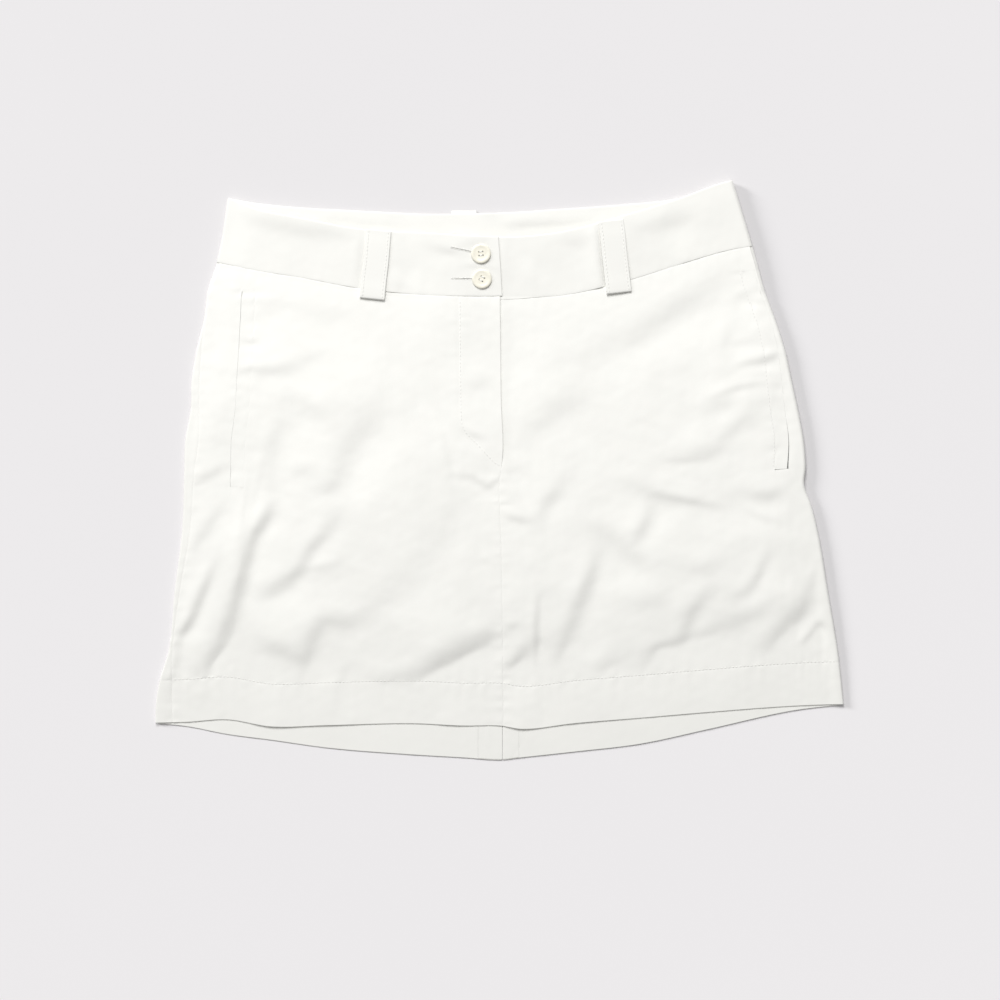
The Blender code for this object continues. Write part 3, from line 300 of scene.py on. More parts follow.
# Creases: the cloth falls across each line, away from the light, and swells beside it.
# A line's points give x, y, how wide it is there, and how steep.
FRONT_CREASES = [
    # The long folds down the left side.
    [(-171, 46, 9, 0), (-179, 30, 9, 0.13), (-184, 8, 9, 0.15), (-185, -14, 9, 0.16),
     (-183, -27, 8, 0.22), (-189, -41, 7, 0.42), (-197, -54, 7, 0.46), (-206, -86, 8, 0.44),
     (-213, -112, 9, 0.36), (-222, -137, 10, 0.3), (-234, -158, 11, 0.22), (-244, -174, 9, 0)],
    [(-225, -66, 5, 0), (-231, -82, 5, 0.22), (-240, -103, 6, 0.38), (-247, -120, 6, 0.44),
     (-255, -129, 6, 0.42), (-259, -138, 8, 0.24), (-260, -158, 8, 0.2), (-262, -170, 8, 0)],
    [(-213, -17, 7, 0), (-226, -34, 7, 0.14), (-238, -52, 7, 0.15), (-249, -70, 7, 0)],
    [(-201, 4, 4, 0), (-202, -18, 4, 0.16), (-205, -40, 4, 0.16), (-209, -62, 4, 0.1),
     (-214, -82, 4, 0)],
    [(-250, 30, 4, 0), (-251, 16, 4, 0.16), (-252, 2, 4, 0)],
    [(-250, -26, 4, 0), (-251, -40, 4, 0.2), (-252, -54, 4, 0)],
    [(-247, -10, 5, 0), (-236, -5, 5, 0.16), (-224, 1, 5, 0.14), (-215, 4, 5, 0)],
    [(-211, -163, 8, 0), (-224, -174, 8, 0.16), (-236, -183, 8, 0.14), (-247, -191, 8, 0)],
    # Folds to the right of the long ones.
    [(-120, -24, 9, 0), (-137, -46, 8, 0.18), (-150, -62, 7, 0.25), (-161, -79, 7, 0.25),
     (-177, -92, 9, 0.22), (-202, -104, 9, 0)],
    [(-166, -82, 4, 0), (-152, -78, 4, 0.12), (-138, -76, 5, 0.14), (-118, -70, 6, 0)],
    [(-186, 20, 2.5, 0), (-191, 0, 2.5, 0.1), (-196, -22, 2.5, 0.16), (-203, -50, 3, 0.1),
     (-210, -78, 3, 0)],
    [(-110, -76, 8, 0), (-135, -82, 8, 0.08), (-158, -84, 8, 0.1), (-170, -88, 8, 0)],
    [(-86, -88, 13, 0), (-104, -111, 11, 0.08), (-122, -120, 10, 0.17), (-139, -121, 9, 0.19),
     (-149, -133, 9, 0.19), (-154, -152, 9, 0.15), (-157, -173, 9, 0)],
    [(-202, -131, 9, 0), (-184, -139, 9, 0.16), (-170, -145, 9, 0.18), (-154, -157, 9, 0)],
    [(-117, -144, 7, 0), (-125, -166, 7, 0.13), (-130, -186, 7, 0.16), (-134, -203, 7, 0)],
    [(-148, -10, 8, 0), (-137, -15, 8, 0.14), (-122, -8, 8, 0)],
    [(-172, -3, 8, 0), (-158, 0, 8, 0.1), (-142, 6, 8, 0)],
    [(-156, -30, 9, 0), (-138, -31, 9, 0.08), (-116, -28, 9, 0)],
    # The fold across the lower middle, with its lower arm.
    [(-1, -125, 8, 0), (-10, -132, 10, 0.2), (-26, -143, 14, 0.29), (-44, -154, 16, 0.31),
     (-60, -162, 15, 0.28), (-78, -167, 11, 0.25), (-98, -168, 9, 0.18), (-122, -163, 9, 0.09),
     (-136, -159, 8, 0)],
    [(-48, -165, 8, 0), (-62, -174, 8, 0.22), (-78, -187, 8, 0.22), (-89, -199, 8, 0)],
    [(-8, 4, 16, 0), (-36, -36, 18, 0.06), (-62, -72, 18, 0.09), (-88, -98, 16, 0.08),
     (-106, -116, 12, 0)],
    [(-18, -68, 3.5, 0), (-12, -71, 3.5, 0.12), (-5, -73, 3.5, 0)],
    # Folds beside the centre seam.
    [(31, -96, 4, 0), (30, -109, 4, 0.24), (29, -130, 4, 0.3), (30, -152, 4, 0.32),
     (31, -166, 4, 0.15), (34, -190, 4, 0.12), (35, -204, 4, 0)],
    [(29, -131, 8, 0), (20, -143, 8, 0.22), (14, -152, 8, 0.28), (5, -161, 7, 0.16),
     (-3, -168, 6, 0)],
    [(80, -50, 8, 0), (77, -68, 7, 0.12), (72, -84, 8, 0.26), (65, -102, 9, 0.28),
     (58, -120, 9, 0.22), (52, -138, 8, 0.2), (47, -156, 8, 0.12), (42, -173, 7, 0)],
    [(62, 8, 8, 0), (47, -14, 8, 0.12), (36, -28, 8, 0.14), (28, -52, 8, 0)],
    [(0, -35, 4, 0), (8, -37, 4, 0.2), (16, -39, 4, 0.26), (25, -42, 4, 0)],
    [(1, -125, 4, 0), (9, -124.5, 4, 0.24), (18, -122, 4, 0)],
    # Folds across the lower right.
    [(84, -2, 9, 0), (110, -13, 9, 0.13), (130, -21, 8, 0.22), (150, -24, 7, 0.22),
     (170, -28, 6, 0.14), (188, -31, 6, 0)],
    [(114, -17, 2.5, 0), (132, -20, 2.5, 0.14), (155, -25, 2.5, 0.14), (172, -28, 2.5, 0)],
    [(190, -26, 4, 0), (204, -35, 4, 0.2), (216, -39, 4, 0.1), (234, -43, 4, 0)],
    [(182, -13, 9, 0), (200, -19, 9, 0.2), (216, -19, 8, 0.24), (232, -14, 8, 0)],
    [(122, -14, 8, 0), (119, -34, 8, 0.14), (112, -50, 7, 0.2), (105, -62, 7, 0)],
    [(70, -34, 12, 0), (90, -52, 12, 0.19), (106, -70, 12, 0.2), (126, -83, 11, 0)],
    [(126, -71, 10, 0), (146, -77, 10, 0.1), (162, -78, 10, 0.14), (184, -71, 10, 0)],
    [(217, -60, 7, 0), (209, -76, 6, 0.2), (202, -90, 6, 0.24), (192, -99, 7, 0.16),
     (176, -104, 7, 0)],
    [(108, -149, 8, 0), (124, -141, 6, 0.17), (140, -137, 6, 0.19), (160, -132, 9, 0.16),
     (180, -123, 10, 0.15), (204, -113, 11, 0.15), (224, -102, 11, 0.13), (244, -97, 10, 0)],
    [(173, -88, 9, 0), (160, -104, 9, 0.18), (151, -118, 9, 0.24), (146, -132, 8, 0.16),
     (140, -143, 8, 0)],
    [(250, -90, 12, 0), (241, -109, 13, 0.3), (230, -122, 13, 0.25), (220, -134, 12, 0.27),
     (211, -150, 10, 0)],
    [(273, -129, 5, 0), (265, -125, 5, 0.34), (256, -123, 5, 0.42), (249, -132, 6, 0.4),
     (241, -142, 7, 0.24), (233, -151, 7, 0)],
    [(129, -137, 8, 0), (123, -148, 8, 0.15), (118, -158, 8, 0.12), (111, -169, 8, 0)],
    [(114, -146, 9, 0), (96, -150, 9, 0.1), (80, -157, 9, 0.13), (62, -161, 9, 0)],
    [(86, -104, 12, 0), (108, -105, 12, 0.1), (126, -104, 12, 0.1), (144, -101, 12, 0)],
    [(253, -72, 6, 0), (250, -88, 6, 0.14), (246, -100, 6, 0)],
    # The broad fold of the upper right, and the ones below it.
    [(192, 178, 12, 0), (170, 159, 14, 0.2), (152, 142, 14, 0.25), (132, 127, 15, 0.22),
     (110, 112, 16, 0.14), (84, 99, 16, 0.08), (50, 88, 16, 0.04), (22, 80, 16, 0)],
    [(78, 63, 14, 0), (56, 54, 14, 0.1), (38, 44, 14, 0.1), (16, 22, 14, 0)],
    [(213, 71, 3, 0), (200, 68.5, 3, 0.2), (186, 65.5, 3, 0.24), (172, 60, 3, 0.1),
     (163, 56, 3, 0)],
    [(192, 59, 9, 0), (178, 54, 9, 0.18), (168, 50, 9, 0.14), (156, 43, 9, 0)],
    [(209, 47, 8, 0), (194, 40, 8, 0.16), (184, 32, 8, 0.16), (173, 18, 8, 0)],
    [(182, 23, 8, 0), (168, 15, 8, 0.18), (152, 13, 8, 0.18), (138, 11, 8, 0.1),
     (122, 8, 8, 0)],
    [(172, 10, 2.5, 0), (155, 9, 2.5, 0.14), (138, 8.5, 2.5, 0.12), (124, 8, 2.5, 0)],
    [(96, 45, 3, 0), (110, 41, 3, 0.08), (122, 37, 3, 0.1), (133, 32, 3, 0)],
    [(184, 124, 7, 0), (181, 106, 7, 0.12), (178, 88, 7, 0)],
    # Short ones drawn in by the pockets' seams.
    [(184, 139, 4, 0), (195, 141, 4, 0.26), (205, 144, 4, 0)],
    [(182, 100, 4, 0), (195, 103, 4, 0.16), (208, 105, 4, 0)],
    [(184, 82, 3.5, 0), (196, 86, 3.5, 0.22), (208, 88, 4, 0.3), (219, 91, 4, 0.26),
     (227, 95, 4, 0)],
    [(-227, 159, 4, 0), (-214, 153, 4, 0.2), (-200, 151, 4, 0.2), (-186, 155, 4, 0.14),
     (-175, 159, 4, 0)],
    [(-225, 150, 3.5, 0), (-214, 145, 3.5, 0.2), (-204, 144, 3, 0)],
    [(-207, 106, 2.5, 0), (-202, 104.5, 2.5, 0.26), (-197, 104, 2.5, 0.3), (-190, 106, 2.5, 0)],
    [(-212, 81, 2.5, 0), (-205, 80.5, 2.5, 0.22), (-198, 81.5, 2.5, 0.3), (-190, 80, 3, 0)],
    # Round the end of the fly.
    [(-61, 55, 4, 0), (-52, 45, 4, 0.12), (-46, 32, 4, 0.2), (-43, 16, 4, 0.2),
     (-40, 0, 4, 0.14), (-39, -12, 4, 0)],
    [(-32, 37, 3.5, 0), (-25, 31, 3.5, 0.2), (-18, 27.5, 3.5, 0.24), (-10, 26, 3.5, 0)],
    [(-43, -2, 4, 0), (-32, -4, 4, 0.16), (-22, -5, 4, 0.18), (-14, -10, 3.5, 0.3),
     (-9, -12, 3.5, 0.28), (-3, -8, 3.5, 0.12), (1, -5, 3, 0)],
    [(1, 12, 5, 0), (7, 0, 5, 0.2), (12, -12, 5, 0.22), (20, -28, 5, 0.12), (27, -40, 5, 0)],
    [(-22, 137, 5, 0), (-12, 133, 5, 0.2), (-3, 132, 5, 0.14), (2, 133, 5, 0)],
    [(-32, 71, 9, 0), (-18, 70, 9, 0.12), (-4, 75, 9, 0)],
    [(-2, 120, 9, 0), (12, 127, 9, 0.16), (24, 128, 9, 0.1), (38, 123, 9, 0)],
    # Faint level ones below the band and beside the left pocket.
    [(-200, 127, 9, 0), (-184, 132, 9, 0.16), (-170, 135, 9, 0.16), (-156, 131, 9, 0.1),
     (-136, 127, 9, 0.15), (-118, 127, 8, 0.06), (-102, 128, 8, 0)],
    [(-196, 80, 7, 0), (-186, 80, 6, 0.2), (-172, 82, 7, 0.17), (-158, 87, 8, 0.09),
     (-140, 93, 9, 0.05), (-118, 97, 10, 0)],
    [(-170, 67, 10, 0), (-156, 55, 10, 0.12), (-146, 46, 10, 0.14), (-132, 41, 10, 0)],
    [(-82, 60, 15, 0), (-104, 40, 15, 0.1), (-120, 16, 14, 0.15), (-132, -8, 13, 0.15),
     (-141, -24, 12, 0)],
]

# The same on the back, where only ridges can rise from the table.
BACK_CREASES = [
    [(-228, 40, 8, 0), (-206, -10, 8, 0.22), (-192, -66, 9, 0.3), (-198, -130, 8, 0)],
    [(-150, 94, 10, 0), (-110, 40, 9, 0.2), (-84, -20, 9, 0.24), (-92, -88, 10, 0)],
    [(-52, -34, 8, 0), (-96, -96, 8, 0.28), (-124, -122, 9, 0.24), (-160, -146, 8, 0)],
    [(-24, -146, 7, 0), (-80, -176, 7, 0.26), (-112, -184, 8, 0.18), (-150, -186, 7, 0)],
    [(170, 128, 10, 0), (118, 76, 9, 0.26), (84, 56, 10, 0.2), (50, 40, 9, 0)],
    [(214, 26, 8, 0), (170, -24, 8, 0.2), (110, -52, 9, 0.26), (56, -62, 8, 0)],
    [(240, -90, 8, 0), (180, -116, 8, 0.26), (150, -136, 9, 0.3), (112, -164, 8, 0)],
    [(38, -78, 7, 0), (52, -130, 7, 0.22), (64, -156, 8, 0.18), (90, -190, 7, 0)],
    [(-228, -92, 6, 0), (-240, -140, 6, 0.24), (-236, -188, 6, 0)],
]

# And on the doubled waistband: the front's, then what shows of the back's inside.
BAND_CREASES = [
    [(-216, 207, 9, 0), (-190, 200, 9, 0.13), (-160, 193, 10, 0.15), (-130, 189, 9, 0.12),
     (-110, 187, 9, 0)],
    [(-64, 182, 7, 0), (-50, 178, 6, 0.12), (-39, 175, 5, 0.2), (-30, 173, 4, 0)],
    [(-32, 164, 2.5, 0), (-20, 163, 2.5, 0.2), (-9, 161.5, 2.5, 0.18), (0, 160, 2.5, 0)],
    [(-30, 184, 6, 0), (-20, 181, 6, 0.14), (-8, 183, 6, 0)],
    [(-84, 164, 9, 0), (-78, 156, 9, 0.12), (-74, 146, 8, 0)],
    [(-62, 162, 3, 0), (-61, 152, 3, 0.12), (-60, 142, 3, 0)],
    [(24, 172, 8, 0), (28, 158, 8, 0.1), (31, 146, 8, 0)],
    [(78, 186, 8, 0), (60, 183, 8, 0.1), (40, 186, 8, 0)],
    [(162, 206, 10, 0), (140, 200, 10, 0.14), (116, 194, 9, 0.1), (100, 190, 9, 0)],
    [(168, 168, 8, 0), (150, 165, 8, 0.1), (130, 158, 8, 0)],
    [(-108, 199, 4, 0), (-110, 184, 4, 0.14), (-112, 164, 4, 0.18), (-114, 148, 4, 0.14),
     (-115, 139, 4, 0)],
    [(76.5, 205, 3.5, 0), (78, 192, 3.5, 0.36), (80, 172, 3.5, 0.5), (82.5, 152, 3.5, 0.46),
     (83.5, 141, 3.5, 0.2), (84.5, 134, 3.5, 0)],
]
BACK_BAND_CREASES = [
    [(-2, 196, 6, 0), (14, 196, 7, 0.18), (42, 197, 7, 0.2), (66, 199, 6, 0.1),
     (80, 201, 6, 0)],
    [(-40, 195, 6, 0), (-90, 197, 6, 0.08), (-130, 200, 6, 0.08), (-150, 203, 6, 0)],
]

# The stitching that holds the fly's facing, from the band down to the fly's end.
FLY_STITCHES = [(-32, 136), (-31.6, 90), (-31.2, 52), (-30.4, 38), (-26.4, 30),
                (-19, 22.5), (-13, 16), (-8, 10.5), (-3.4, 6.4), (0, 4.6)]

# ---- Colours -----------------------------------------------------------------------
TWILL = (0.868, 0.862, 0.825)
# The waistband is firmer. Its twill is painted a little darker than the skirt's: painted shade
# that offsets the stronger lamp light on it, as it lies closer to the lamp.
BAND_TWILL_PAINTED_SHADE = (0.822, 0.816, 0.780)
THREAD = (0.83, 0.825, 0.795)
POCKETING = (0.80, 0.80, 0.78)
PEARL = (0.857, 0.826, 0.715)
# The floor's colour under light of unit strength, and its palest in full.
FLOOR = (0.8705, 0.8526, 0.8623)
FLOOR_MOST = 1.12

# ---- Light -------------------------------------------------------------------------
KEY_PLACE = (-0.30, 1.50, 1.60)
KEY_POWER = 44.2
KEY_SIZE = 1.0
# A lamp as broad as this one fades a little less than by the fourth power.
KEY_FALLOFF = 3.72
# A low light from the left on the cloth alone, and a lower one on the floor alone, where
# it makes the soft drop shadow.
Low = namedtuple("Low", "name way strength angle")
SIDE = Low("side", (0.89, -0.45, -0.62), 0.72, 32)
SIDE_ON_FLOOR = Low("side_on_floor", (0.89, -0.42, -0.316), 2.68, 15)
SKY = 0.34
# What the sky and the low light give to the floor, as light of unit strength.
EVEN_LIGHT = SKY + (SIDE_ON_FLOOR.strength * -SIDE_ON_FLOOR.way[2]
                    / math.hypot(*SIDE_ON_FLOOR.way) / math.pi)


# ---- Curves ------------------------------------------------------------------------
def ease(t):
    """0 up to 0, 1 from 1 on, and smooth between."""
    t = np.clip(t, 0.0, 1.0)
    return t * t * (3 - 2 * t)


def lerp(a, b, t):
    return a + (b - a) * t


def ramp(x, start_and_length):
    """0 before the start, 1 after the length, which is negative towards lower x."""
    start, length = start_and_length
    return ease((x - start) / length)


def bell(distance, width):
    """1 at no distance, and nearly 0 from about twice the width on."""
    return np.exp(-(distance / width) ** 2)


def above_zero(x, softness):
    """x where it is positive and nearly 0 where it is negative, with a smooth bend."""
    return (x + np.sqrt(x ** 2 + softness)) / 2


def unit(v):
    return v / np.maximum(np.linalg.norm(v, axis=-1, keepdims=True), 1e-9)


def curve(rows, key, value):
    """A smooth function through two named columns of a table, straight beyond its ends."""
    points = sorted((getattr(r, key), getattr(r, value)) for r in rows)
    xs, ys = np.array(points, float).T
    chords = np.diff(ys) / np.diff(xs)
    slopes = np.concatenate([chords[:1], (chords[1:] + chords[:-1]) / 2, chords[-1:]])

    def at(x):
        x = np.asarray(x, float)
        inside = np.clip(x, xs[0], xs[-1])
        i = np.clip(np.searchsorted(xs, inside, side="right") - 1, 0, len(xs) - 2)
        h = xs[i + 1] - xs[i]
        t = (inside - xs[i]) / h
        start = (1 + 2 * t) * (1 - t) ** 2 * ys[i] + t * (1 - t) ** 2 * h * slopes[i]
        end = t * t * (3 - 2 * t) * ys[i + 1] + t * t * (t - 1) * h * slopes[i + 1]
        slope = np.where(x < xs[0], slopes[0], slopes[-1])
        return start + end + slope * (x - inside)

    return at


def sampled(points, step=3.0):
    """A smooth line through the points, with a sample about every step."""
    p = np.array(points, float)
    ends = np.vstack([2 * p[0] - p[1], p, 2 * p[-1] - p[-2]])
    runs = []
    for a, b, c, d in zip(ends, ends[1:], ends[2:], ends[3:]):
        count = max(2, int(np.linalg.norm(c - b) / step))
        t = np.arange(count)[:, None] / count
        runs.append(((2 * b) + (c - a) * t + (2 * a - 5 * b + 4 * c - d) * t ** 2
                     + (3 * b - a - 3 * c + d) * t ** 3) / 2)
    return np.vstack([*runs, p[-1:]])


front_top = curve(WAIST, "x", "front_top")
front_seam = curve(WAIST, "x", "front_seam")
back_top = curve(WAIST, "x", "back_top")
back_seam = curve(WAIST, "x", "back_seam")
front_hem = curve(HEM, "x", "front")
back_hem = curve(HEM, "x", "back")
fly_edge = curve(FLY, "y", "x")
tab_end = curve(TAB_END, "y", "x")
hem_wave = curve(HEM_WAVES, "x", "height")


def right_seam(x):
    """The right front's band seam, a step lower than the left's under the tab."""
    return front_seam(x) - SEAM_STEP * (1 - ease(x / 40))


def band_seams(front, rise):
    """The front's and the back's band seams, moved up by a rise."""
    return lambda x: front(x) + rise, lambda x: back_seam(x) + rise


# ---- Uneven stretches --------------------------------------------------------------
def ripples(seed, shortest, longest, count=7):
    """A function of one length that wanders between about -1 and 1."""
    draw = random.Random(seed)
    parts = [(2 * math.pi / draw.uniform(shortest, longest), draw.uniform(0, 2 * math.pi))
             for _ in range(count)]
    return lambda s: sum(np.sin(s * k + p) for k, p in parts) / math.sqrt(count / 2) / 1.6


def waves(seed, shortest, longest, count=18):
    """A function of x and y that wanders between about -1 and 1."""
    draw = random.Random(seed)
    parts = []
    for _ in range(count):
        k = 2 * math.pi / draw.uniform(shortest, longest)
        turn = draw.uniform(0, math.pi)
        parts.append((k * math.cos(turn), k * math.sin(turn), draw.uniform(0, 2 * math.pi)))

    def at(x, y):
        total = sum(np.sin(x * kx + y * ky + p) for kx, ky, p in parts)
        return total / math.sqrt(count / 2) / 1.6

    return at


DRAPE = waves(3, 70, 160, 12)
CRUMPLE = waves(5, 18, 48, 26)
FINE_CRUMPLE = waves(8, 7, 15, 30)
PUCKER = ripples(11, 5, 14, 9)
PUCKER_OTHER = ripples(12, 6, 17, 9)
EDGE_WANDER = ripples(21, 14, 60, 9)
# Shifts that give other pieces other stretches of the same waves.
OTHER_SIDE = 40.0
OTHER_LAYER = 500.0
OTHER_DRAPE = 400.0
OTHER_CRUMPLE = 300.0
OTHER_BAG = 90.0

# The way in plan that most of the light goes.
FROM_LIGHT = (0.6, -0.8)


# A crease's swell on both sides of its fall is this much wider than the fall.
SWELL = 2.2
SHARP = 1.2
# It reaches so many of its widths, and fades over this share of that. One that runs up
# the skirt is steeper by this share. The farther off, the more of its line has its say,
# so that bends stay smooth.
CREASE_REACH = 4.5
CREASE_FADE = 0.4
STEEPER_UPRIGHT = 0.25
SAY_NEAR = 2.0
SAY_FAR = 0.45


def relief(creases, x, y):
    """Height of the creases at each point."""
    total = np.zeros(np.shape(x))
    for crease in creases:
        line = sampled(crease)
        reach = CREASE_REACH * line[:, 2].max()
        low, high = line[:, :2].min(0) - reach, line[:, :2].max(0) + reach
        near = (x > low[0]) & (x < high[0]) & (y > low[1]) & (y < high[1])
        if not near.any():
            continue
        chord = line[-1] - line[0]
        falls_left = chord[0] * FROM_LIGHT[1] - chord[1] * FROM_LIGHT[0] > 0
        run = unit(np.gradient(line[:, :2], axis=0))
        dx, dy = x[near][:, None] - line[:, 0], y[near][:, None] - line[:, 1]
        away = dx ** 2 + dy ** 2
        least = away.min(1, keepdims=True)
        say = np.exp((least - away) / (SAY_NEAR + SAY_FAR * np.sqrt(least)) ** 2)
        u = (run[:, 0] * dy - run[:, 1] * dx) / line[:, 2]
        fall = np.tanh(SHARP * u) - np.tanh(SHARP / SWELL * u)
        steep = line[:, 3] * (1 + STEEPER_UPRIGHT * run[:, 1] ** 2)
        height = line[:, 2] * steep * fall / (SHARP * (1 - 1 / SWELL))
        fade = ease((reach - np.sqrt(least[:, 0])) / (CREASE_FADE * reach))
        total[near] += ((-1 if falls_left else 1) * fade
                        * (say * height).sum(1) / say.sum(1))
    return total


# ---- The flattened tube ------------------------------------------------------------
class Side:
    """One side of the tube: sign -1 is the left, +1 the right."""

    def __init__(self, sign, sections, folds):
        self.sign = sign
        self.edge = curve(sections, "y", "edge")
        self.radius = curve(folds, "y", "radius")
        self.seam_girth = curve(sections, "y", "seam")
        self.slit_girth = curve(sections, "y", "slit")

    def moved(self, girth, y):
        """A girth distance on the solid's fold, on this rounder one."""
        more = (math.pi / 2 - 1) * (self.radius(y) - CAD_RADIUS) + (CAD_CLOTH - CLOTH) / 2
        return girth + more * np.clip(girth / (CAD_RADIUS * math.pi / 2), -1, 1)

    def seam(self, y):
        return self.moved(self.seam_girth(y), y)

    def slit(self, y):
        return self.moved(self.slit_girth(y), y)


class Tube:
    """Two layers joined by a round fold: the panels, or the bands."""

    def __init__(self, thick, back, slim):
        self.thick = thick
        self.back = back
        self.slim = slim

    def radius(self, side, y):
        return side.radius(y) - self.slim

    def quarter(self, side, y):
        return self.radius(side, y) * math.pi / 2

    def start(self, side, y):
        """Distance from the centre line at which the round fold starts."""
        return side.edge(y) - self.radius(side, y) - self.thick / 2

    def plan(self, side, w, y):
        """Signed x of the girth distance w."""
        radius = self.radius(side, y)
        quarter = radius * math.pi / 2
        turn = np.clip(w, -quarter, quarter) / radius
        flat = np.maximum(np.abs(w) - quarter, 0)
        return side.sign * (self.start(side, y) + radius * np.cos(turn) - flat)

    def girth(self, side, x, y, over=True):
        """Girth distance of a point at x, over the front or beneath."""
        w = self.start(side, y) - side.sign * x + self.quarter(side, y)
        return w if over else -w


LEFT = Side(-1, LEFT_SECTIONS, LEFT_FOLDS)
RIGHT = Side(1, RIGHT_SECTIONS, RIGHT_FOLDS)
PANELS = Tube(CLOTH, BACK_LEVEL, 0.0)
BANDS = Tube(BAND, BAND_BACK_LEVEL, BAND_SLIM)


# ---- Levels of the layers ----------------------------------------------------------
def lift(x, y):
    """How much higher or lower the front lies than its solids, for its folds' sake."""
    left = 1 - ease((PANELS.start(LEFT, y) + x) / LEFT_FOLD_REACH)
    right = ramp(x, RIGHT_FOLD_RISES)
    return 2 * ((LEFT.radius(y) - CAD_RADIUS) * left + (RIGHT.radius(y) - CAD_RADIUS) * right)


def from_folds(x, y):
    """Distance in plan from the nearer side fold's start."""
    return np.minimum(PANELS.start(RIGHT, y) - x, PANELS.start(LEFT, y) + x)


def front_relief(x, y):
    """The front's drape, creases and waves."""
    below_band = front_seam(x) - y
    above_edge = y - front_hem(x)
    flap = ramp(x, FLAP_ACROSS[0]) * ramp(x, FLAP_ACROSS[1]) * ramp(y, FLAP_DOWN)
    loose = ease(below_band / BAND_CALMS) * (1 - FLAP_CALM * flap)
    total = relief(FRONT_CREASES, x, y) * ease(below_band / CREASES_START)
    total = total + (DRAPE_HEIGHT * DRAPE(x, y) + CRUMPLE_HEIGHT * CRUMPLE(x, y)) * loose
    total = total * lerp(HEM_CALM, 1.0, ramp(above_edge, HEM_CALMS))
    total = total + hem_wave(x) * ramp(above_edge, HEM_WAVES_REACH)
    rest = FRONT_LEVEL + lift(x, y)
    total = total - (rest - HEM_LEVEL) * ramp(above_edge, HEM_SETTLES)
    total = total * ease(from_folds(x, y) / FOLD_CALMS)
    # It lies on the back's hem or above the back.
    least = lerp(FRONT_LEAST, HEM_LEVEL, ramp(above_edge, HEM_LIES)) - rest
    return least + above_zero(total - least, FRONT_LEAST_SOFTNESS)


def back_relief(x, y):
    """The same on the back, which only rises from the table."""
    total = relief(BACK_CREASES, x, y) + BACK_DRAPE_HEIGHT * DRAPE(x + OTHER_DRAPE, y)
    total = total + BACK_CRUMPLE_HEIGHT * CRUMPLE(x + OTHER_CRUMPLE, y)
    inside = ease(from_folds(x, y) / BACK_FOLD_CALMS)
    below_band = ease((back_seam(x) - y) / BACK_BAND_CALMS)
    above_hem = ease((y - back_hem(x) - HEM_DEPTH) / BACK_HEM_CALMS)
    risen = above_zero(total, BACK_SOFTNESS) - BACK_SUNK
    return risen * inside * below_band * above_hem


def near_band(x, y):
    """1 at the front band's seam, falling to 0 below it."""
    return 1 - ramp(front_seam(x) - y, (0, FRONT_FALL))


def tilt(x, y):
    """The front band is a little higher towards its top edge."""
    up = ramp(y - front_seam(x), (0, BAND_LENGTH))
    return BAND_TILT * up * ease(from_folds(x, y) / TILT_STARTS)


def tab_thick(x):
    return BAND - TAB_THIN * ramp(x, TAB_THINS)


def shoulder(x):
    """0 at the edge that the cloth comes out from, 1 a little way off, and 0 far off."""
    return ramp(x, SHOULDER) * ramp(x, SHOULDER_ENDS)


def left_band_level(x, y):
    level = lerp(BAND_FRONT_LEVEL, TAB_LEVEL, ramp(x, TAB_RISE)) + tilt(x, y)
    return level - (BAND - tab_thick(x)) / 2 + lift(x, y)


def right_band_level(x, y):
    level = lerp(BAND_FRONT_LEVEL, UNDERLAP_BAND, ramp(x, UNDERLAP_RISE)) + tilt(x, y)
    return level - SHOULDER_DEPTH_BAND * shoulder(x) + lift(x, y)


def back_band_level(x, y):
    return lerp(BAND_BACK_LEVEL, BAND_OVER_LOOP, ramp(abs(x - BACK_LOOP_X), LOOP_RISE))


def left_front_level(x, y):
    flap = ramp(x, FLAP_RISE) * ramp(y, (FLY_END, FLY_FADE))
    low = FRONT_LEVEL + flap * FLAP_LIFT + front_relief(x, y) + lift(x, y)
    return lerp(low, left_band_level(x, y) + (tab_thick(x) - CLOTH) / 2 - BAND_STEP,
                near_band(x, y))


def right_front_level(x, y):
    dip = BESIDE_FLY_DEPTH * ramp(x, BESIDE_FLY) + UNDERLAP_DEPTH * ramp(x, UNDERLAP_DIP)
    dip = dip + SHOULDER_DEPTH * shoulder(x)
    dip = dip * ramp(y, (FLY_END + 2, FLY_FADE - 1))
    low = FRONT_LEVEL - dip + front_relief(x, y) + lift(x, y)
    return lerp(low, right_band_level(x, y) + (BAND - CLOTH) / 2 - BAND_STEP,
                near_band(x, y))


def back_level(x, y):
    high = back_band_level(x, y) - (BAND_BACK_LEVEL - BACK_LEVEL)
    return lerp(high, BACK_LEVEL, ramp(back_seam(x) - y, BACK_FALL)) + back_relief(x, y)


# ---- Seams and puckers, along the normal -------------------------------------------
# How a seam shows: its ditch, and the puckers beside it with how far they reach.
Seam = namedtuple("Seam", "depth width height reach")
SIDE_SEAM = Seam(0.21, 0.9, 0.20, 5)
BAND_SEAM = Seam(0.10, 0.9, 0.13, 5)
HEM_SEAM = Seam(0.07, 0.8, 0.20, 9)
HEM_REACH_ABOVE = 6.0
CENTRE_FRONT_SEAM = Seam(0.10, 0.9, 0.22, 5)
CENTRE_BACK_SEAM = Seam(0.16, 0.9, 0.18, 5)
WELT_SEAM = Seam(0.06, 1.3, 0.24, 4)
SLIT_LIP = Seam(0, 1, 0.2, 4)
FLY_SEAM = Seam(0.16, 0.8, 0.12, 4)
WAISTBAND_SEAM = Seam(0.12, 0.8, 0.13, 5)
ON_SEAM = 1.1
FINE_HEIGHT = 0.05
# The band seam's allowance shows through as a second fine line, mostly on the left.
ALLOWANCE = 2.4
ALLOWANCE_DEPTH = {-1: 0.09, 1: 0.027}
ALLOWANCE_WIDTH = 0.6
ALLOWANCE_STARTS = (44.0, 12.0)
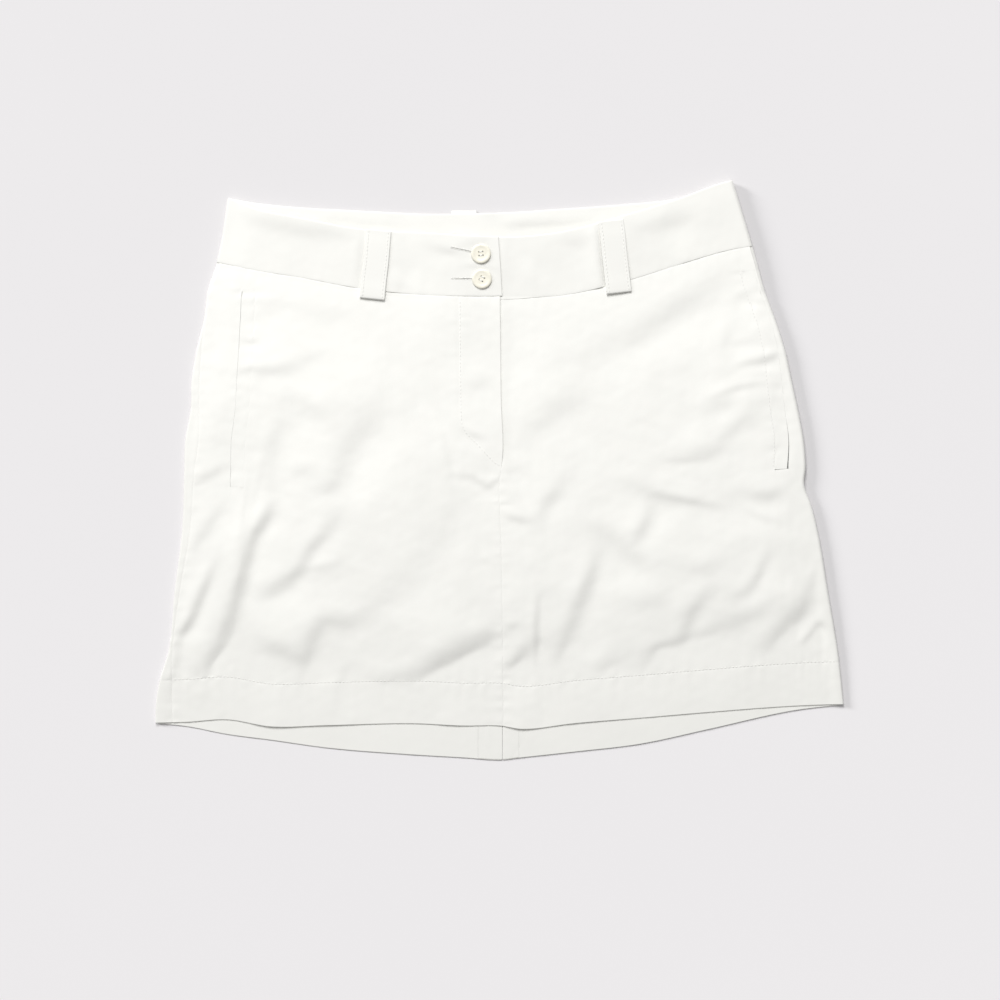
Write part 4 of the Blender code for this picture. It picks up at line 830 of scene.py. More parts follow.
# The left welt's seam is deeper at its top.
WELT_TOP_DEPTH = {-1: 0.1, 1: 0.0}
WELT_TOP = (108.0, 12.0)
FLY_SEAM_SHOWS = (40.0, 8.0)
# The vent's facing is mitred into the hem: a fold line across each corner.
MITRE_FOOT = 7.4
MITRE_SLANT = 0.66
MITRE_HEIGHT = 0.14
MITRE_WIDTH = 0.8
MITRE_SHOWS = (18.7, -6.0)
# The waistband, and the back band's inside, which lies beneath the front's.
BAND_CRUMPLE = 0.16
BAND_FINE = 0.04
BAND_STRETCH = (0.8, 0.5)
INSIDE_SUNK = 0.1
INSIDE_MOST = 0.05


def beside(away, reach):
    """How strong puckers are: none on their seam, most close by it, and few far off."""
    return np.exp(-np.abs(away) / reach) * (1 - bell(away, ON_SEAM))


def sewn(seam, away, puckers):
    """A seam's ditch and puckers at a distance from it."""
    return (seam.height * puckers * beside(away, seam.reach)
            - seam.depth * bell(away, seam.width))


def panel_detail(side, w, x, y):
    """Ditches and puckers beside a panel's seams, and the cloth's fine unevenness."""
    over = w > 0
    below_band = np.where(over, front_seam(x), back_seam(x)) - y
    hem_up = y - np.where(over, front_hem(x), back_hem(x)) - HEM_DEPTH
    hem = HEM_SEAM._replace(reach=np.where(hem_up > 0, HEM_REACH_ABOVE, HEM_SEAM.reach))
    shift = OTHER_SIDE * side.sign
    allowance = ALLOWANCE_DEPTH[side.sign] * ramp(np.abs(x), ALLOWANCE_STARTS)
    total = (FINE_HEIGHT * FINE_CRUMPLE(x + shift, y + np.where(over, 0, OTHER_LAYER))
             + sewn(SIDE_SEAM, w - side.seam(y), PUCKER(y + shift))
             + sewn(BAND_SEAM, below_band, PUCKER_OTHER(x + shift))
             - allowance * bell(below_band - ALLOWANCE, ALLOWANCE_WIDTH)
             + sewn(hem, hem_up, PUCKER(x * 0.9 + 77 + shift)))
    return np.where(over, total, np.minimum(total, 0.0))


def front_detail(side, w, x, y):
    """A front's seams, with the centre seam, the pocket's and the fly's stitching."""
    plain = panel_detail(side, w, x, y)
    centre = sewn(CENTRE_FRONT_SEAM, x - fly_edge(y), PUCKER(y * 1.1 + 31))
    total = plain + centre * ramp(y, (FLY_END + 1, -4))
    share = (front_seam(x) - y) / (front_seam(x) - front_hem(x) - HEM_DEPTH)
    pocket = ramp(share, (POCKET_TOP_SHARE - POCKET_FADE, POCKET_FADE))
    pocket = pocket * ramp(share, (POCKET_END_SHARE + POCKET_FADE, -POCKET_FADE))
    from_slit = w - side.slit(y)
    deeper = WELT_SEAM.depth + WELT_TOP_DEPTH[side.sign] * ramp(y, WELT_TOP)
    total = total + pocket * (
        sewn(WELT_SEAM._replace(depth=deeper), from_slit - WELT_WIDTH,
             PUCKER(y * 0.8 + 5 + 90 * side.sign))
        + sewn(SLIT_LIP, from_slit, PUCKER_OTHER(y * 0.7)))
    if side is LEFT:
        stitched = x - fly_edge(y) + UNDERLAP_WIDTH
        total = total + ramp(y, FLY_SEAM_SHOWS) * sewn(FLY_SEAM, stitched, PUCKER_OTHER(y + 9))
    return np.where(w > 0, total, plain)


def back_detail(side, w, x, y):
    """A back's seams, with the centre seam above the vent and the hem's mitres."""
    from_centre = np.abs(x - CENTRE_BACK_X)
    up = y - back_hem(x)
    seam = ramp(y, (VENT_TOP, 6)) * sewn(CENTRE_BACK_SEAM, from_centre, PUCKER(y + 55))
    mitre = MITRE_HEIGHT * bell(from_centre - MITRE_FOOT - up * MITRE_SLANT, MITRE_WIDTH)
    beneath = seam + mitre * ramp(up, MITRE_SHOWS)
    return panel_detail(side, w, x, y) + np.where(w < 0, beneath, 0)


def band_detail(side, w, x, y):
    """A firm doubled band: slight waves and creases, and puckers at its seam."""
    over = w > 0
    seam_up = y - np.where(over, front_seam(x), back_seam(x))
    other = np.where(over, 0, OTHER_CRUMPLE)
    total = (BAND_CRUMPLE * CRUMPLE(x * BAND_STRETCH[0] + other, y * BAND_STRETCH[1])
             + BAND_FINE * FINE_CRUMPLE(x + other, y)
             + sewn(WAISTBAND_SEAM, seam_up, PUCKER_OTHER(x + OTHER_SIDE * side.sign)))
    inside = total - relief(BACK_BAND_CREASES, x, y) - INSIDE_SUNK
    return np.where(over, total + relief(BAND_CREASES, x, y),
                    np.minimum(inside, INSIDE_MOST))


# ---- Surfaces ----------------------------------------------------------------------
MEET_STEPS = 40


class Surface:
    """The middle surface of one side of a tube, with its own levels and detail."""

    def __init__(self, side, tube, over, beneath, detail):
        self.side = side
        self.tube = tube
        self.over = over
        self.beneath = beneath
        self.detail = detail

    def base(self, w, y):
        tube = self.tube
        x = tube.plan(self.side, w, y)
        radius = tube.radius(self.side, y)
        quarter = radius * math.pi / 2
        round_fold = tube.back + radius + radius * np.sin(np.clip(w / radius, -2, 2))
        z = np.where(w >= quarter, self.over(x, y),
                     np.where(w <= -quarter, self.beneath(x, y), round_fold))
        return np.stack([x, np.broadcast_to(y, x.shape), z], -1)

    def normal(self, w, y, step=0.3):
        """Unit normal that points out of the tube."""
        across = self.base(w + step, y) - self.base(w - step, y)
        down = self.base(w, y + step) - self.base(w, y - step)
        return unit(np.cross(across, down) * -self.side.sign)

    def point(self, w, y):
        """Points with their detail, and the normals there."""
        place, normal = self.base(w, y), self.normal(w, y)
        detail = self.detail(self.side, w, place[..., 0], place[..., 1])
        return place + normal * detail[..., None], normal

    def grid(self, columns, y, flip, sunk=0.0):
        """A grid's points with their detail, and the normals there."""
        w = columns.at(y)
        base = self.base(w, y)
        detail = self.detail(self.side, w, base[..., 0], base[..., 1]) - sunk
        points = base + grid_normals(base, flip) * detail[..., None]
        return points, grid_normals(points, flip)

    def meet(self, columns, front_edge, back_edge):
        """The y at which each column reaches an edge that runs round the tube."""
        y = np.full(len(columns), float(front_edge(0.0)))
        for _ in range(MEET_STEPS):
            w = columns.at(y)
            x = self.tube.plan(self.side, w, y)
            quarter = self.tube.quarter(self.side, y)
            share = np.clip((quarter - w) / (2 * quarter), 0, 1)
            y = lerp(front_edge(x), back_edge(x), share)
        return y


NEAR_EDGE = (0.12, 0.34, 0.8, 1.5, 2.4)


def shares(length, step, fine=(), through=()):
    """Shares of a length from 0 to 1, about a step apart and closer beside fine ones."""
    stops = sorted({0.0, 1.0, *fine, *through})
    made = set(stops)
    for a, b in zip(stops, stops[1:]):
        room = (b - a) * length
        after = [f for f in NEAR_EDGE if a in fine and f < 0.45 * room]
        before = [room - f for f in NEAR_EDGE if b in fine and f < 0.45 * room]
        low, high = max(after, default=0), min(before, default=room)
        count = max(1, math.ceil((high - low) / step))
        spread = [lerp(low, high, k / count) for k in range(count + 1)]
        made |= {a + f / length for f in after + before + spread}
    return np.unique(np.round(sorted(made), 7))


Span = namedtuple("Span", "length step fine")


class Columns:
    """Lines down a panel, spread between its named lines."""

    def __init__(self, lines, spans):
        self.lines = lines
        self.span = []
        self.share = []
        self.last = [0]
        for k, span in enumerate(spans):
            made = shares(span.length, span.step, span.fine)
            made = made if k == 0 else made[1:]
            self.span += [k] * len(made)
            self.share += list(made)
            self.last.append(len(self.span) - 1)
        self.span = np.array(self.span)
        self.share = np.array(self.share)

    def __len__(self):
        return len(self.span)

    def at(self, y):
        """Girth distance of every column, where y's last axis is the columns."""
        w = np.empty(np.shape(y))
        for k in range(len(self.lines) - 1):
            mine = self.span == k
            part = y[..., mine]
            w[..., mine] = lerp(self.lines[k](part), self.lines[k + 1](part),
                                self.share[mine])
        return w


# ---- Walls -------------------------------------------------------------------------
RIM_CELLS = 5
# How far a rim is rounded, as a share of half the thickness.
FREE_EDGE = 0.9
SEWN_EDGE = 0.15
WELT_EDGE = 0.02
WELT_GAP = 0.005
# A fully rounded rim is thinner at its edge by this share.
RIM_THIN = 0.83
SHARP_EDGE = 50
SHARP_EDGE_PEARL = 40


def grid_normals(points, flip):
    """Unit normals of a grid of points; flip turns them over."""
    def run(axis):
        step = np.diff(points, axis=axis)
        length = np.linalg.norm(step, axis=-1, keepdims=True) + 1e-9
        facing = step / length
        pad_low, pad_high = [(0, 0)] * points.ndim, [(0, 0)] * points.ndim
        pad_low[axis], pad_high[axis] = (1, 0), (0, 1)
        before, after = np.pad(facing, pad_low, "edge"), np.pad(facing, pad_high, "edge")
        low, high = np.pad(length, pad_low, "edge"), np.pad(length, pad_high, "edge")
        return (before * high + after * low) / (low + high)

    return unit(np.cross(run(1), run(0))) * flip


def edge_distance(points, rim):
    """Distance of each point of a grid from its rim, right for the few cells beside it."""
    distance = np.where(rim, 0.0, 1e3)
    down = np.linalg.norm(np.diff(points, axis=0), axis=-1)
    along = np.linalg.norm(np.diff(points, axis=1), axis=-1)
    for _ in range(RIM_CELLS):
        distance[1:] = np.minimum(distance[1:], distance[:-1] + down)
        distance[:-1] = np.minimum(distance[:-1], distance[1:] + down)
        distance[:, 1:] = np.minimum(distance[:, 1:], distance[:, :-1] + along)
        distance[:, :-1] = np.minimum(distance[:, :-1], distance[:, 1:] + along)
    return distance


def wall(name, points, normals, thick, flip, missing=None, rounding=FREE_EDGE):
    """A closed wall with rounded rims on a grid of points, less its missing cells."""
    rows, columns = points.shape[:2]
    kept = np.ones((rows - 1, columns - 1), bool)
    if missing is not None:
        kept &= ~missing
    framed = np.pad(kept, 1).astype(int)
    beside_row = framed[:-1, 1:-1] + framed[1:, 1:-1]
    beside_column = framed[1:-1, :-1] + framed[1:-1, 1:]
    around = framed[:-1, :-1] + framed[:-1, 1:] + framed[1:, :-1] + framed[1:, 1:]
    used, rim = around > 0, (around > 0) & (around < 4)
    index = np.full((rows, columns), -1)
    index[used] = np.arange(used.sum())
    half = thick / 2
    inward = np.clip(edge_distance(points, rim) / (rounding * half), 0, 1)
    least = 1 - RIM_THIN * np.clip(rounding, 0, 1)
    shape = (np.maximum(np.sqrt(1 - (1 - inward) ** 2), least) * half)[..., None]
    outer, inner = (points + normals * shape)[used], (points - normals * shape)[used]
    count = len(outer)
    a, b = index[:-1, :-1][kept], index[:-1, 1:][kept]
    d, c = index[1:, :-1][kept], index[1:, 1:][kept]
    tops = np.stack([a, b, c, d], -1)
    faces = [tops, tops[:, ::-1] + count]
    # Rim faces: the cell lies below or above a row's edge, left or right of a column's.
    for edge, first, second, lower in (
            (beside_row == 1, index[:, :-1], index[:, 1:], np.pad(kept, ((0, 1), (0, 0)))),
            (beside_column == 1, index[1:], index[:-1], np.pad(kept, ((0, 0), (0, 1))))):
        p, q, same = first[edge], second[edge], lower[edge]
        start, end = np.where(same, p, q), np.where(same, q, p)
        faces.append(np.stack([end, start, start + count, end + count], -1))
    faces = np.vstack(faces)
    if flip < 0:
        faces = faces[:, ::-1]
    mesh = bpy.data.meshes.new(name)
    mesh.from_pydata((np.vstack([outer, inner]) * MM).tolist(), [], faces.tolist())
    smooth(mesh)
    return link(name, mesh)


def smooth(mesh, most=SHARP_EDGE):
    """Smooth shading, apart from edges that turn by more degrees than this."""
    mesh.shade_smooth()
    mesh.set_sharp_from_angle(angle=math.radians(most))


def link(name, mesh):
    made = bpy.data.objects.new(name, mesh)
    bpy.context.scene.collection.objects.link(made)
    return made


# ---- Panels ------------------------------------------------------------------------
HEM_SHARES = shares(HEM_DEPTH, 2.4, fine=(0, 1))[1:]
TURN_ANGLES = [math.radians(30 * k) for k in range(1, 7)]


def turned(point, normal, forward, angle):
    """Points and normals on the round turn that folds a layer back under itself."""
    ahead = unit(forward - normal * (forward * normal).sum(-1, keepdims=True))
    facing = normal * math.cos(angle) + ahead * math.sin(angle)
    return point - normal * TURN_RADIUS + facing * TURN_RADIUS, facing


class Panel:
    """A panel's grid of points and normals, and where its named rows and columns are."""

    def __init__(self, surface, columns, body, top, bottom, flip):
        self.surface = surface
        self.columns = columns
        self.body = body
        y_top = surface.meet(columns, *top)
        y_hem = surface.meet(columns, *bottom) + TURN_REACH
        rows = [lerp(y_top, y_hem + HEM_DEPTH, v) for v in body]
        rows += [y_hem + HEM_DEPTH * (1 - v) for v in HEM_SHARES]
        self.points, self.normals = surface.grid(columns, np.array(rows), flip)
        self.thick = np.full(self.points.shape[:2], CLOTH)
        self.stitch_row = len(body) - 1
        self.fold_row = len(rows) - 1

    def row(self, share):
        return int(np.argmin(np.abs(self.body - share)))

    def turn_hem(self):
        """Adds the turned-up hem: round the folded edge and back up inside the panel."""
        last, normal = self.points[-1], self.normals[-1]
        made = [turned(last, normal, last - self.points[-2], a) for a in TURN_ANGLES]
        up = range(self.fold_row - 1, self.stitch_row - 1, -1)
        made += [(self.points[j] - self.normals[j] * HEM_PITCH, -self.normals[j])
                 for j in up]
        self.points = np.concatenate([self.points, [p for p, _ in made]])
        self.normals = np.concatenate([self.normals, [n for _, n in made]])
        thin = np.full((len(made), self.thick.shape[1]), HEM_THIN)
        self.thick = np.concatenate([self.thick, thin])
        self.hem_layer = self.fold_row + len(TURN_ANGLES)

    def turn_facing(self, facing_column):
        """Adds columns after the last: the vent's facing, turned in beside the slit."""
        edge, normal = self.points[:, -1], self.normals[:, -1]
        made = [turned(edge, normal, edge - self.points[:, -2], a) for a in TURN_ANGLES]
        back = range(len(self.columns) - 2, facing_column, -1)
        made += [(self.points[:, i] - self.normals[:, i] * HEM_PITCH, -self.normals[:, i])
                 for i in back]
        self.points = np.concatenate([self.points, np.stack([p for p, _ in made], 1)], 1)
        self.normals = np.concatenate([self.normals, np.stack([n for _, n in made], 1)], 1)
        thin = np.full((len(self.thick), len(made)), HEM_THIN)
        self.thick = np.concatenate([self.thick, thin], 1)

    def gone(self):
        """An array for the missing cells, with none missing."""
        rows, columns = self.points.shape[:2]
        return np.zeros((rows - 1, columns - 1), bool)


BODY_LENGTH = 312.0
FRONT_BODY = shares(BODY_LENGTH, 2.2, fine=(0, POCKET_TOP_SHARE, POCKET_END_SHARE, 1),
                    through=(UNDERLAP_END_SHARE,))
BACK_BODY = shares(BODY_LENGTH, 2.6, fine=(0, 1), through=(VENT_TOP_SHARE,))


def front_lines(side):
    """The fly's edge, the placket's stitching, the welt's seam and the pocket's slit."""
    spare = 0.0 if side is LEFT else GAP

    def centre(y):
        return PANELS.girth(side, fly_edge(y) + spare, y)

    def placket(y):
        return PANELS.girth(side, fly_edge(y) + side.sign * UNDERLAP_WIDTH, y)

    def welt(y):
        return side.slit(y) + WELT_WIDTH

    return [centre, placket, welt, side.slit]


FRONT_SPANS = [Span(UNDERLAP_WIDTH, 1.8, (0, 1)), Span(170, 2.2, (1,)),
               Span(WELT_WIDTH, 1.4, (0, 1))]


def front_left_panel():
    surface = Surface(LEFT, PANELS, left_front_level, back_level, front_detail)
    lines = front_lines(LEFT) + [lambda y: LEFT.seam(y) + GAP / 2]
    columns = Columns(lines, FRONT_SPANS + [Span(30, 1.5, (0, 1))])
    top = band_seams(front_seam, -GAP / 2)
    panel = Panel(surface, columns, FRONT_BODY, top, (front_hem, back_hem), 1)
    panel.turn_hem()
    missing = panel.gone()
    missing[panel.row(POCKET_TOP_SHARE):panel.row(POCKET_END_SHARE),
            columns.last[2]:columns.last[3]] = True
    x, y = panel.points[..., 0], panel.points[..., 1]
    flap = ramp(x, FACING_ACROSS) * ramp(y, FACING_DOWN)
    points = panel.points - panel.normals * flap[..., None] * FACING / 2
    return panel, wall("front_left_cloth", points, panel.normals, panel.thick + FACING * flap,
                       1, missing, lerp(SEWN_EDGE, FREE_EDGE, flap))


def front_right_panel():
    surface = Surface(RIGHT, PANELS, right_front_level, back_level, front_detail)
    lines = [lambda y: PANELS.girth(RIGHT, -UNDERLAP_WIDTH + 0 * y, y)]
    lines += front_lines(RIGHT)
    lines += [lambda y: PANELS.quarter(RIGHT, y), lambda y: -PANELS.quarter(RIGHT, y),
              lambda y: RIGHT.seam(y) + GAP / 2]
    columns = Columns(lines, [Span(UNDERLAP_WIDTH, 3.0, (0, 1)), *FRONT_SPANS,
                              Span(20, 1.4, (0,)), Span(9, 0.7, ()), Span(12, 1.4, (1,))])
    top = band_seams(right_seam, -GAP / 2)
    panel = Panel(surface, columns, FRONT_BODY, top, (front_hem, back_hem), -1)
    panel.turn_hem()
    missing = panel.gone()
    missing[panel.row(POCKET_TOP_SHARE):panel.row(POCKET_END_SHARE),
            columns.last[3]:columns.last[4]] = True
    missing[panel.row(UNDERLAP_END_SHARE):, :columns.last[1]] = True
    return panel, wall("front_right_cloth", panel.points, panel.normals, panel.thick, -1,
                       missing, SEWN_EDGE)


# The least distance from the side seam to the fold's columns.
SEAM_TO_FOLD = 0.7


def back_panel(side, name):
    surface = Surface(side, PANELS, left_front_level, back_level, back_detail)

    def seam(y):
        return side.seam(y) - GAP / 2

    def fold_start(y):
        return np.minimum(PANELS.quarter(side, y), seam(y) - SEAM_TO_FOLD)

    def fold_end(y):
        return np.minimum(-PANELS.quarter(side, y), fold_start(y))

    def centre(y):
        """The centre-back seam, set back beside the vent for its turned edge."""
        vent = ramp(y, VENT_OPENS)
        x = CENTRE_BACK_X + side.sign * lerp(GAP / 2, TURN_REACH + GAP, vent)
        return PANELS.girth(side, x, y, over=False)

    def facing(y):
        x = CENTRE_BACK_X + side.sign * FACING_WIDTH[side.sign] + 0 * y
        return PANELS.girth(side, x, y, over=False)

    columns = Columns([seam, fold_start, fold_end, facing, centre], BACK_SPANS[side.sign])
    top = band_seams(front_seam if side is LEFT else right_seam, -GAP / 2)
    flip = -side.sign
    panel = Panel(surface, columns, BACK_BODY, top, (front_hem, back_hem), flip)
    panel.turn_hem()
    panel.turn_facing(columns.last[3])
    missing = panel.gone()
    vent_row = panel.row(VENT_TOP_SHARE)
    facing_end = panel.stitch_row + int(np.argmin(
        np.abs(HEM_DEPTH * (1 - HEM_SHARES) - FACING_END)))
    missing[:vent_row, columns.last[4]:] = True
    missing[facing_end:, columns.last[4]:] = True
    missing[panel.hem_layer:, columns.last[3]:columns.last[4]] = True
    return panel, wall(name, panel.points, panel.normals, panel.thick, flip, missing,
                       SEWN_EDGE)


# ---- Waistband ---------------------------------------------------------------------
BAND_SHARES = shares(BAND_LENGTH, 1.8, fine=(0, 1))
# Its top edge is folded and its lower one is sewn.
BAND_ROUNDING = lerp(FREE_EDGE, SEWN_EDGE, BAND_SHARES)[:, None]
TAB_EDGE = 3.0


def band_grid(side, columns, seams, flip):
    surface = Surface(side, BANDS, left_band_level if side is LEFT else right_band_level,
                      back_band_level, band_detail)
    y_top = surface.meet(columns, front_top, back_top)
    y_seam = surface.meet(columns, *seams)
    y = np.array([lerp(y_top, y_seam, v) for v in BAND_SHARES])
    return surface.grid(columns, y, flip)


def in_plan(side, x, over=True):
    return lambda y: BANDS.girth(side, x + 0 * y, y, over)


def waistband_front_left():
    lines = [lambda y: BANDS.girth(LEFT, tab_end(y), y),
             lambda y: BANDS.quarter(LEFT, y), lambda y: GAP / 2 + 0 * y]
    columns = Columns(lines, [Span(222, 2.2, (0,)), Span(4, 0.6, (1,))])
    points, normals = band_grid(LEFT, columns, band_seams(front_seam, GAP / 2), 1)
    tab = ramp(points[..., 0], (-2 * TAB_EDGE, TAB_EDGE))
    return wall("waistband_front_left_cloth", points, normals, tab_thick(points[..., 0]), 1,
                rounding=lerp(BAND_ROUNDING, FREE_EDGE, tab))


def waistband_front_right():
    lines = [in_plan(RIGHT, -UNDERLAP_BAND_REACH), lambda y: BANDS.quarter(RIGHT, y),
             lambda y: -BANDS.quarter(RIGHT, y), lambda y: RIGHT.seam(y) + GAP / 2]
    columns = Columns(lines, [Span(230, 2.2, (0,)), Span(11, 0.7, ()), Span(22, 2.0, (1,))])
    points, normals = band_grid(RIGHT, columns, band_seams(right_seam, GAP / 2), -1)
    return wall("waistband_front_right_cloth", points, normals, BAND, -1,
                rounding=BAND_ROUNDING)


def waistband_back():
    """From the left fold's middle beneath the skirt to the right side seam."""
    seams = band_seams(front_seam, GAP / 2)
    left = Columns([lambda y: -GAP / 2 + 0 * y, lambda y: -BANDS.quarter(LEFT, y),
                    in_plan(LEFT, CENTRE_BACK_X, False)],
                   [Span(4, 0.6, (0,)), Span(222, 2.4, ())])
    right = Columns([in_plan(RIGHT, CENTRE_BACK_X, False),
                     lambda y: RIGHT.seam(y) - GAP / 2], [Span(180, 2.4, (1,))])
    first, first_out = band_grid(LEFT, left, seams, 1)
    second, second_out = band_grid(RIGHT, right, seams, 1)
    points = np.concatenate([first, second[:, 1:]], 1)
    normals = np.concatenate([first_out, second_out[:, 1:]], 1)
    return wall("waistband_back_cloth", points, normals, BAND, 1, rounding=BAND_ROUNDING)


# ---- Pockets -----------------------------------------------------------------------
# How far a slit stands open along it, and at its lower end.
Mouth = namedtuple("Mouth", "y gap")
LEFT_MOUTH = [Mouth(146, 0.20), Mouth(110, 0.18), Mouth(84, 0.12), Mouth(56, 0.04),
              Mouth(30, 0.09), Mouth(0, 0.12), Mouth(-15, 0.18)]
RIGHT_MOUTH = [Mouth(150, 0.04), Mouth(90, 0.04), Mouth(60, 0.05), Mouth(40, 0.12),
               Mouth(20, 0.5), Mouth(8, 0.9), Mouth(0, 1.4)]
LEFT_END_GAP = 0.06
RIGHT_END_GAP = 0.4


def welt(side, name, level, mouth, end_gap):
    """A folded strip, level with the front, that fills the slot beside the slit."""
    surface = Surface(side, PANELS, level, back_level, front_detail)
    gap = curve(mouth, "y", "gap")
    columns = Columns([lambda y: side.slit(y) + gap(y),
                       lambda y: side.slit(y) + WELT_WIDTH - WELT_GAP],
                      [Span(WELT_WIDTH, 1.2, (0, 1))])
    top = band_seams(front_seam if side is LEFT else right_seam, -GAP / 2)
    y_top = surface.meet(columns, *top)
    y_hem = surface.meet(columns, front_hem, back_hem) + TURN_REACH
    # No row comes within a millimetre of the end, which the gap moves.
    last = POCKET_END_SHARE - 1.0 / BODY_LENGTH
    inside = FRONT_BODY[(FRONT_BODY > POCKET_TOP_SHARE) & (FRONT_BODY < last)]
    down = [POCKET_TOP_SHARE, *inside, POCKET_END_SHARE]
    y = np.array([lerp(y_top, y_hem + HEM_DEPTH, v) for v in down])
    y[0] -= WELT_GAP
    y[-1] += end_gap
    # Its columns run inwards from the slit, the other way than a panel's.
    points, normals = surface.grid(columns, y, side.sign, (WELT - CLOTH) / 2)
    return wall(name, points, normals, WELT, side.sign, rounding=WELT_EDGE)


def bag(side, name):
    """One flat layer of the pocket's bag, under the slit and inwards from it."""
    corner_y = BAG_END + BAG_CORNER
    turn = np.linspace(*BAG_CORNER_TURN, BAG_CORNER_ROWS)
    rows = np.concatenate([np.linspace(BAG_TOP, corner_y, BAG_ROWS),
                           corner_y - BAG_CORNER * np.sin(turn)])
    across = shares(BAG_DEPTH, 4.0, fine=(0, 1))
    points = []
    for y in rows:
        w = max(float(PANELS.quarter(side, y)) + 1.0, float(side.slit(y)) - BAG_OUTSIDE)
        outer = float(PANELS.plan(side, w, y))
        top = float(PANELS.plan(side, max(w, BAG_FROM_FOLD), BAG_TOP))
        inner = top - side.sign * BAG_DEPTH
        if y < corner_y:
            rise = (corner_y - y) / BAG_CORNER
            inner += side.sign * BAG_CORNER * (1 - math.sqrt(max(0.0, 1 - rise ** 2)))
        x = lerp(outer, inner, across)
        points.append(np.stack([x, np.full(len(x), y), np.zeros(len(x))], -1))
    points = np.array(points)
    x, y = points[..., 0], points[..., 1]
    points[..., 2] = back_level(x, y) + BAG_RISE + BAG_CRUMPLE * CRUMPLE(x + OTHER_BAG, y)
    flip = -side.sign
    return wall(name, points, grid_normals(points, flip), BAG, flip)


# ---- Fly zip -----------------------------------------------------------------------
ZIP_FIRST = -28.0
ZIP_LAST = -6.0
ZIP_TOP_GAP = 3.0
TOOTH = Vector((3.4, 0.9, 0.9))
ZIP_LEVEL = 0.95
TOOTH_PITCH = 1.6
TOOTH_SHIFT = 0.5
TOOTH_BEVEL = 0.22


def zip_tape():
    """A closed zip's tape between the underlap and the flap."""
    surface = Surface(RIGHT, PANELS, right_front_level, back_level, front_detail)
    columns = Columns([lambda y: PANELS.girth(RIGHT, ZIP_FIRST + 0 * y, y),
                       lambda y: PANELS.girth(RIGHT, ZIP_LAST + 0 * y, y)],
                      [Span(ZIP_LAST - ZIP_FIRST, 2.0, (0, 1))])
    y_top = surface.meet(columns, right_seam, back_seam) - ZIP_TOP_GAP
    y_hem = surface.meet(columns, front_hem, back_hem) + HEM_DEPTH
    rows = shares(UNDERLAP_END_SHARE * BODY_LENGTH, 2.4, fine=(0, 1)) * UNDERLAP_END_SHARE
    y = np.array([lerp(y_top, y_hem, v) for v in rows])
    base = surface.base(columns.at(y), y)
    normals = grid_normals(base, -1)
    points = base + normals * ZIP_LEVEL
    return wall("fly_zip_tape", points, normals, TAPE, -1), points[2:-2, len(base[0]) // 2]


def zip_chain(line):
    """The meshed teeth down the tape's middle."""
    shape = bmesh.new()
    steps = np.concatenate([[0], np.cumsum(np.linalg.norm(np.diff(line, axis=0), axis=1))])
    for k, s in enumerate(np.arange(0, steps[-1], TOOTH_PITCH)):
        x, y, z = (np.interp(s, steps, line[:, axis]) for axis in range(3))
        tooth = bmesh.ops.create_cube(shape, size=1.0)["verts"]
        bmesh.ops.scale(shape, vec=TOOTH, verts=tooth)
        shift = Vector((x + (TOOTH_SHIFT if k % 2 else -TOOTH_SHIFT), y, z))
        bmesh.ops.translate(shape, vec=shift, verts=tooth)
    bmesh.ops.bevel(shape, geom=shape.edges[:], offset=TOOTH_BEVEL, segments=1,
                    affect="EDGES")
    bmesh.ops.scale(shape, vec=Vector((MM,) * 3), verts=shape.verts)
    return from_bmesh("fly_zip_teeth", shape)


def from_bmesh(name, shape):
    bmesh.ops.recalc_face_normals(shape, faces=shape.faces)
    mesh = bpy.data.meshes.new(name)
    shape.to_mesh(mesh)
    shape.free()
    mesh.shade_smooth()
    return link(name, mesh)


# ---- Belt loops --------------------------------------------------------------------
STITCH_INSET = 2.2
STRAP_STEP = 1.8
STRAP_WANDER = 0.12
STRAP_SUNK = 0.1
STRAP_SUNK_WIDTH = 0.7


def strap(name, path, facings, across, shown, roll=0.0):
    """A strap along a path, and the lines of stitching on the rows of it that show."""
    across = across / np.linalg.norm(across)
    spread = STRAP_WIDTH * (shares(STRAP_WIDTH, 1.4, fine=(0, 1)) - 0.5)
    wander = STRAP_WANDER * EDGE_WANDER(np.arange(len(path)) * 1.0 + len(name) * 9)
    points = path[:, None] + across * (spread + wander[:, None])[..., None]
    # Pressed in along the two lines of stitching.
    inset = STRAP_WIDTH / 2 - STITCH_INSET
    sunk = STRAP_SUNK * bell(np.abs(spread) - inset, STRAP_SUNK_WIDTH)
    normals = np.broadcast_to(facings[:, None], points.shape).copy()
    points = points - normals * sunk[None, :, None]
    points[..., 2] += 2 * roll * spread / STRAP_WIDTH
    made = wall(name, points, normals, STRAP, 1)
    points, normals = points[:shown], normals[:shown, 0]
    slant = unit(points[:, -1] - points[:, 0])
    middle = (points[:, 0] + points[:, -1]) / 2 + normals * STRAP / 2
    return made, [(middle + slant * side * inset, normals) for side in (-1, 1)]


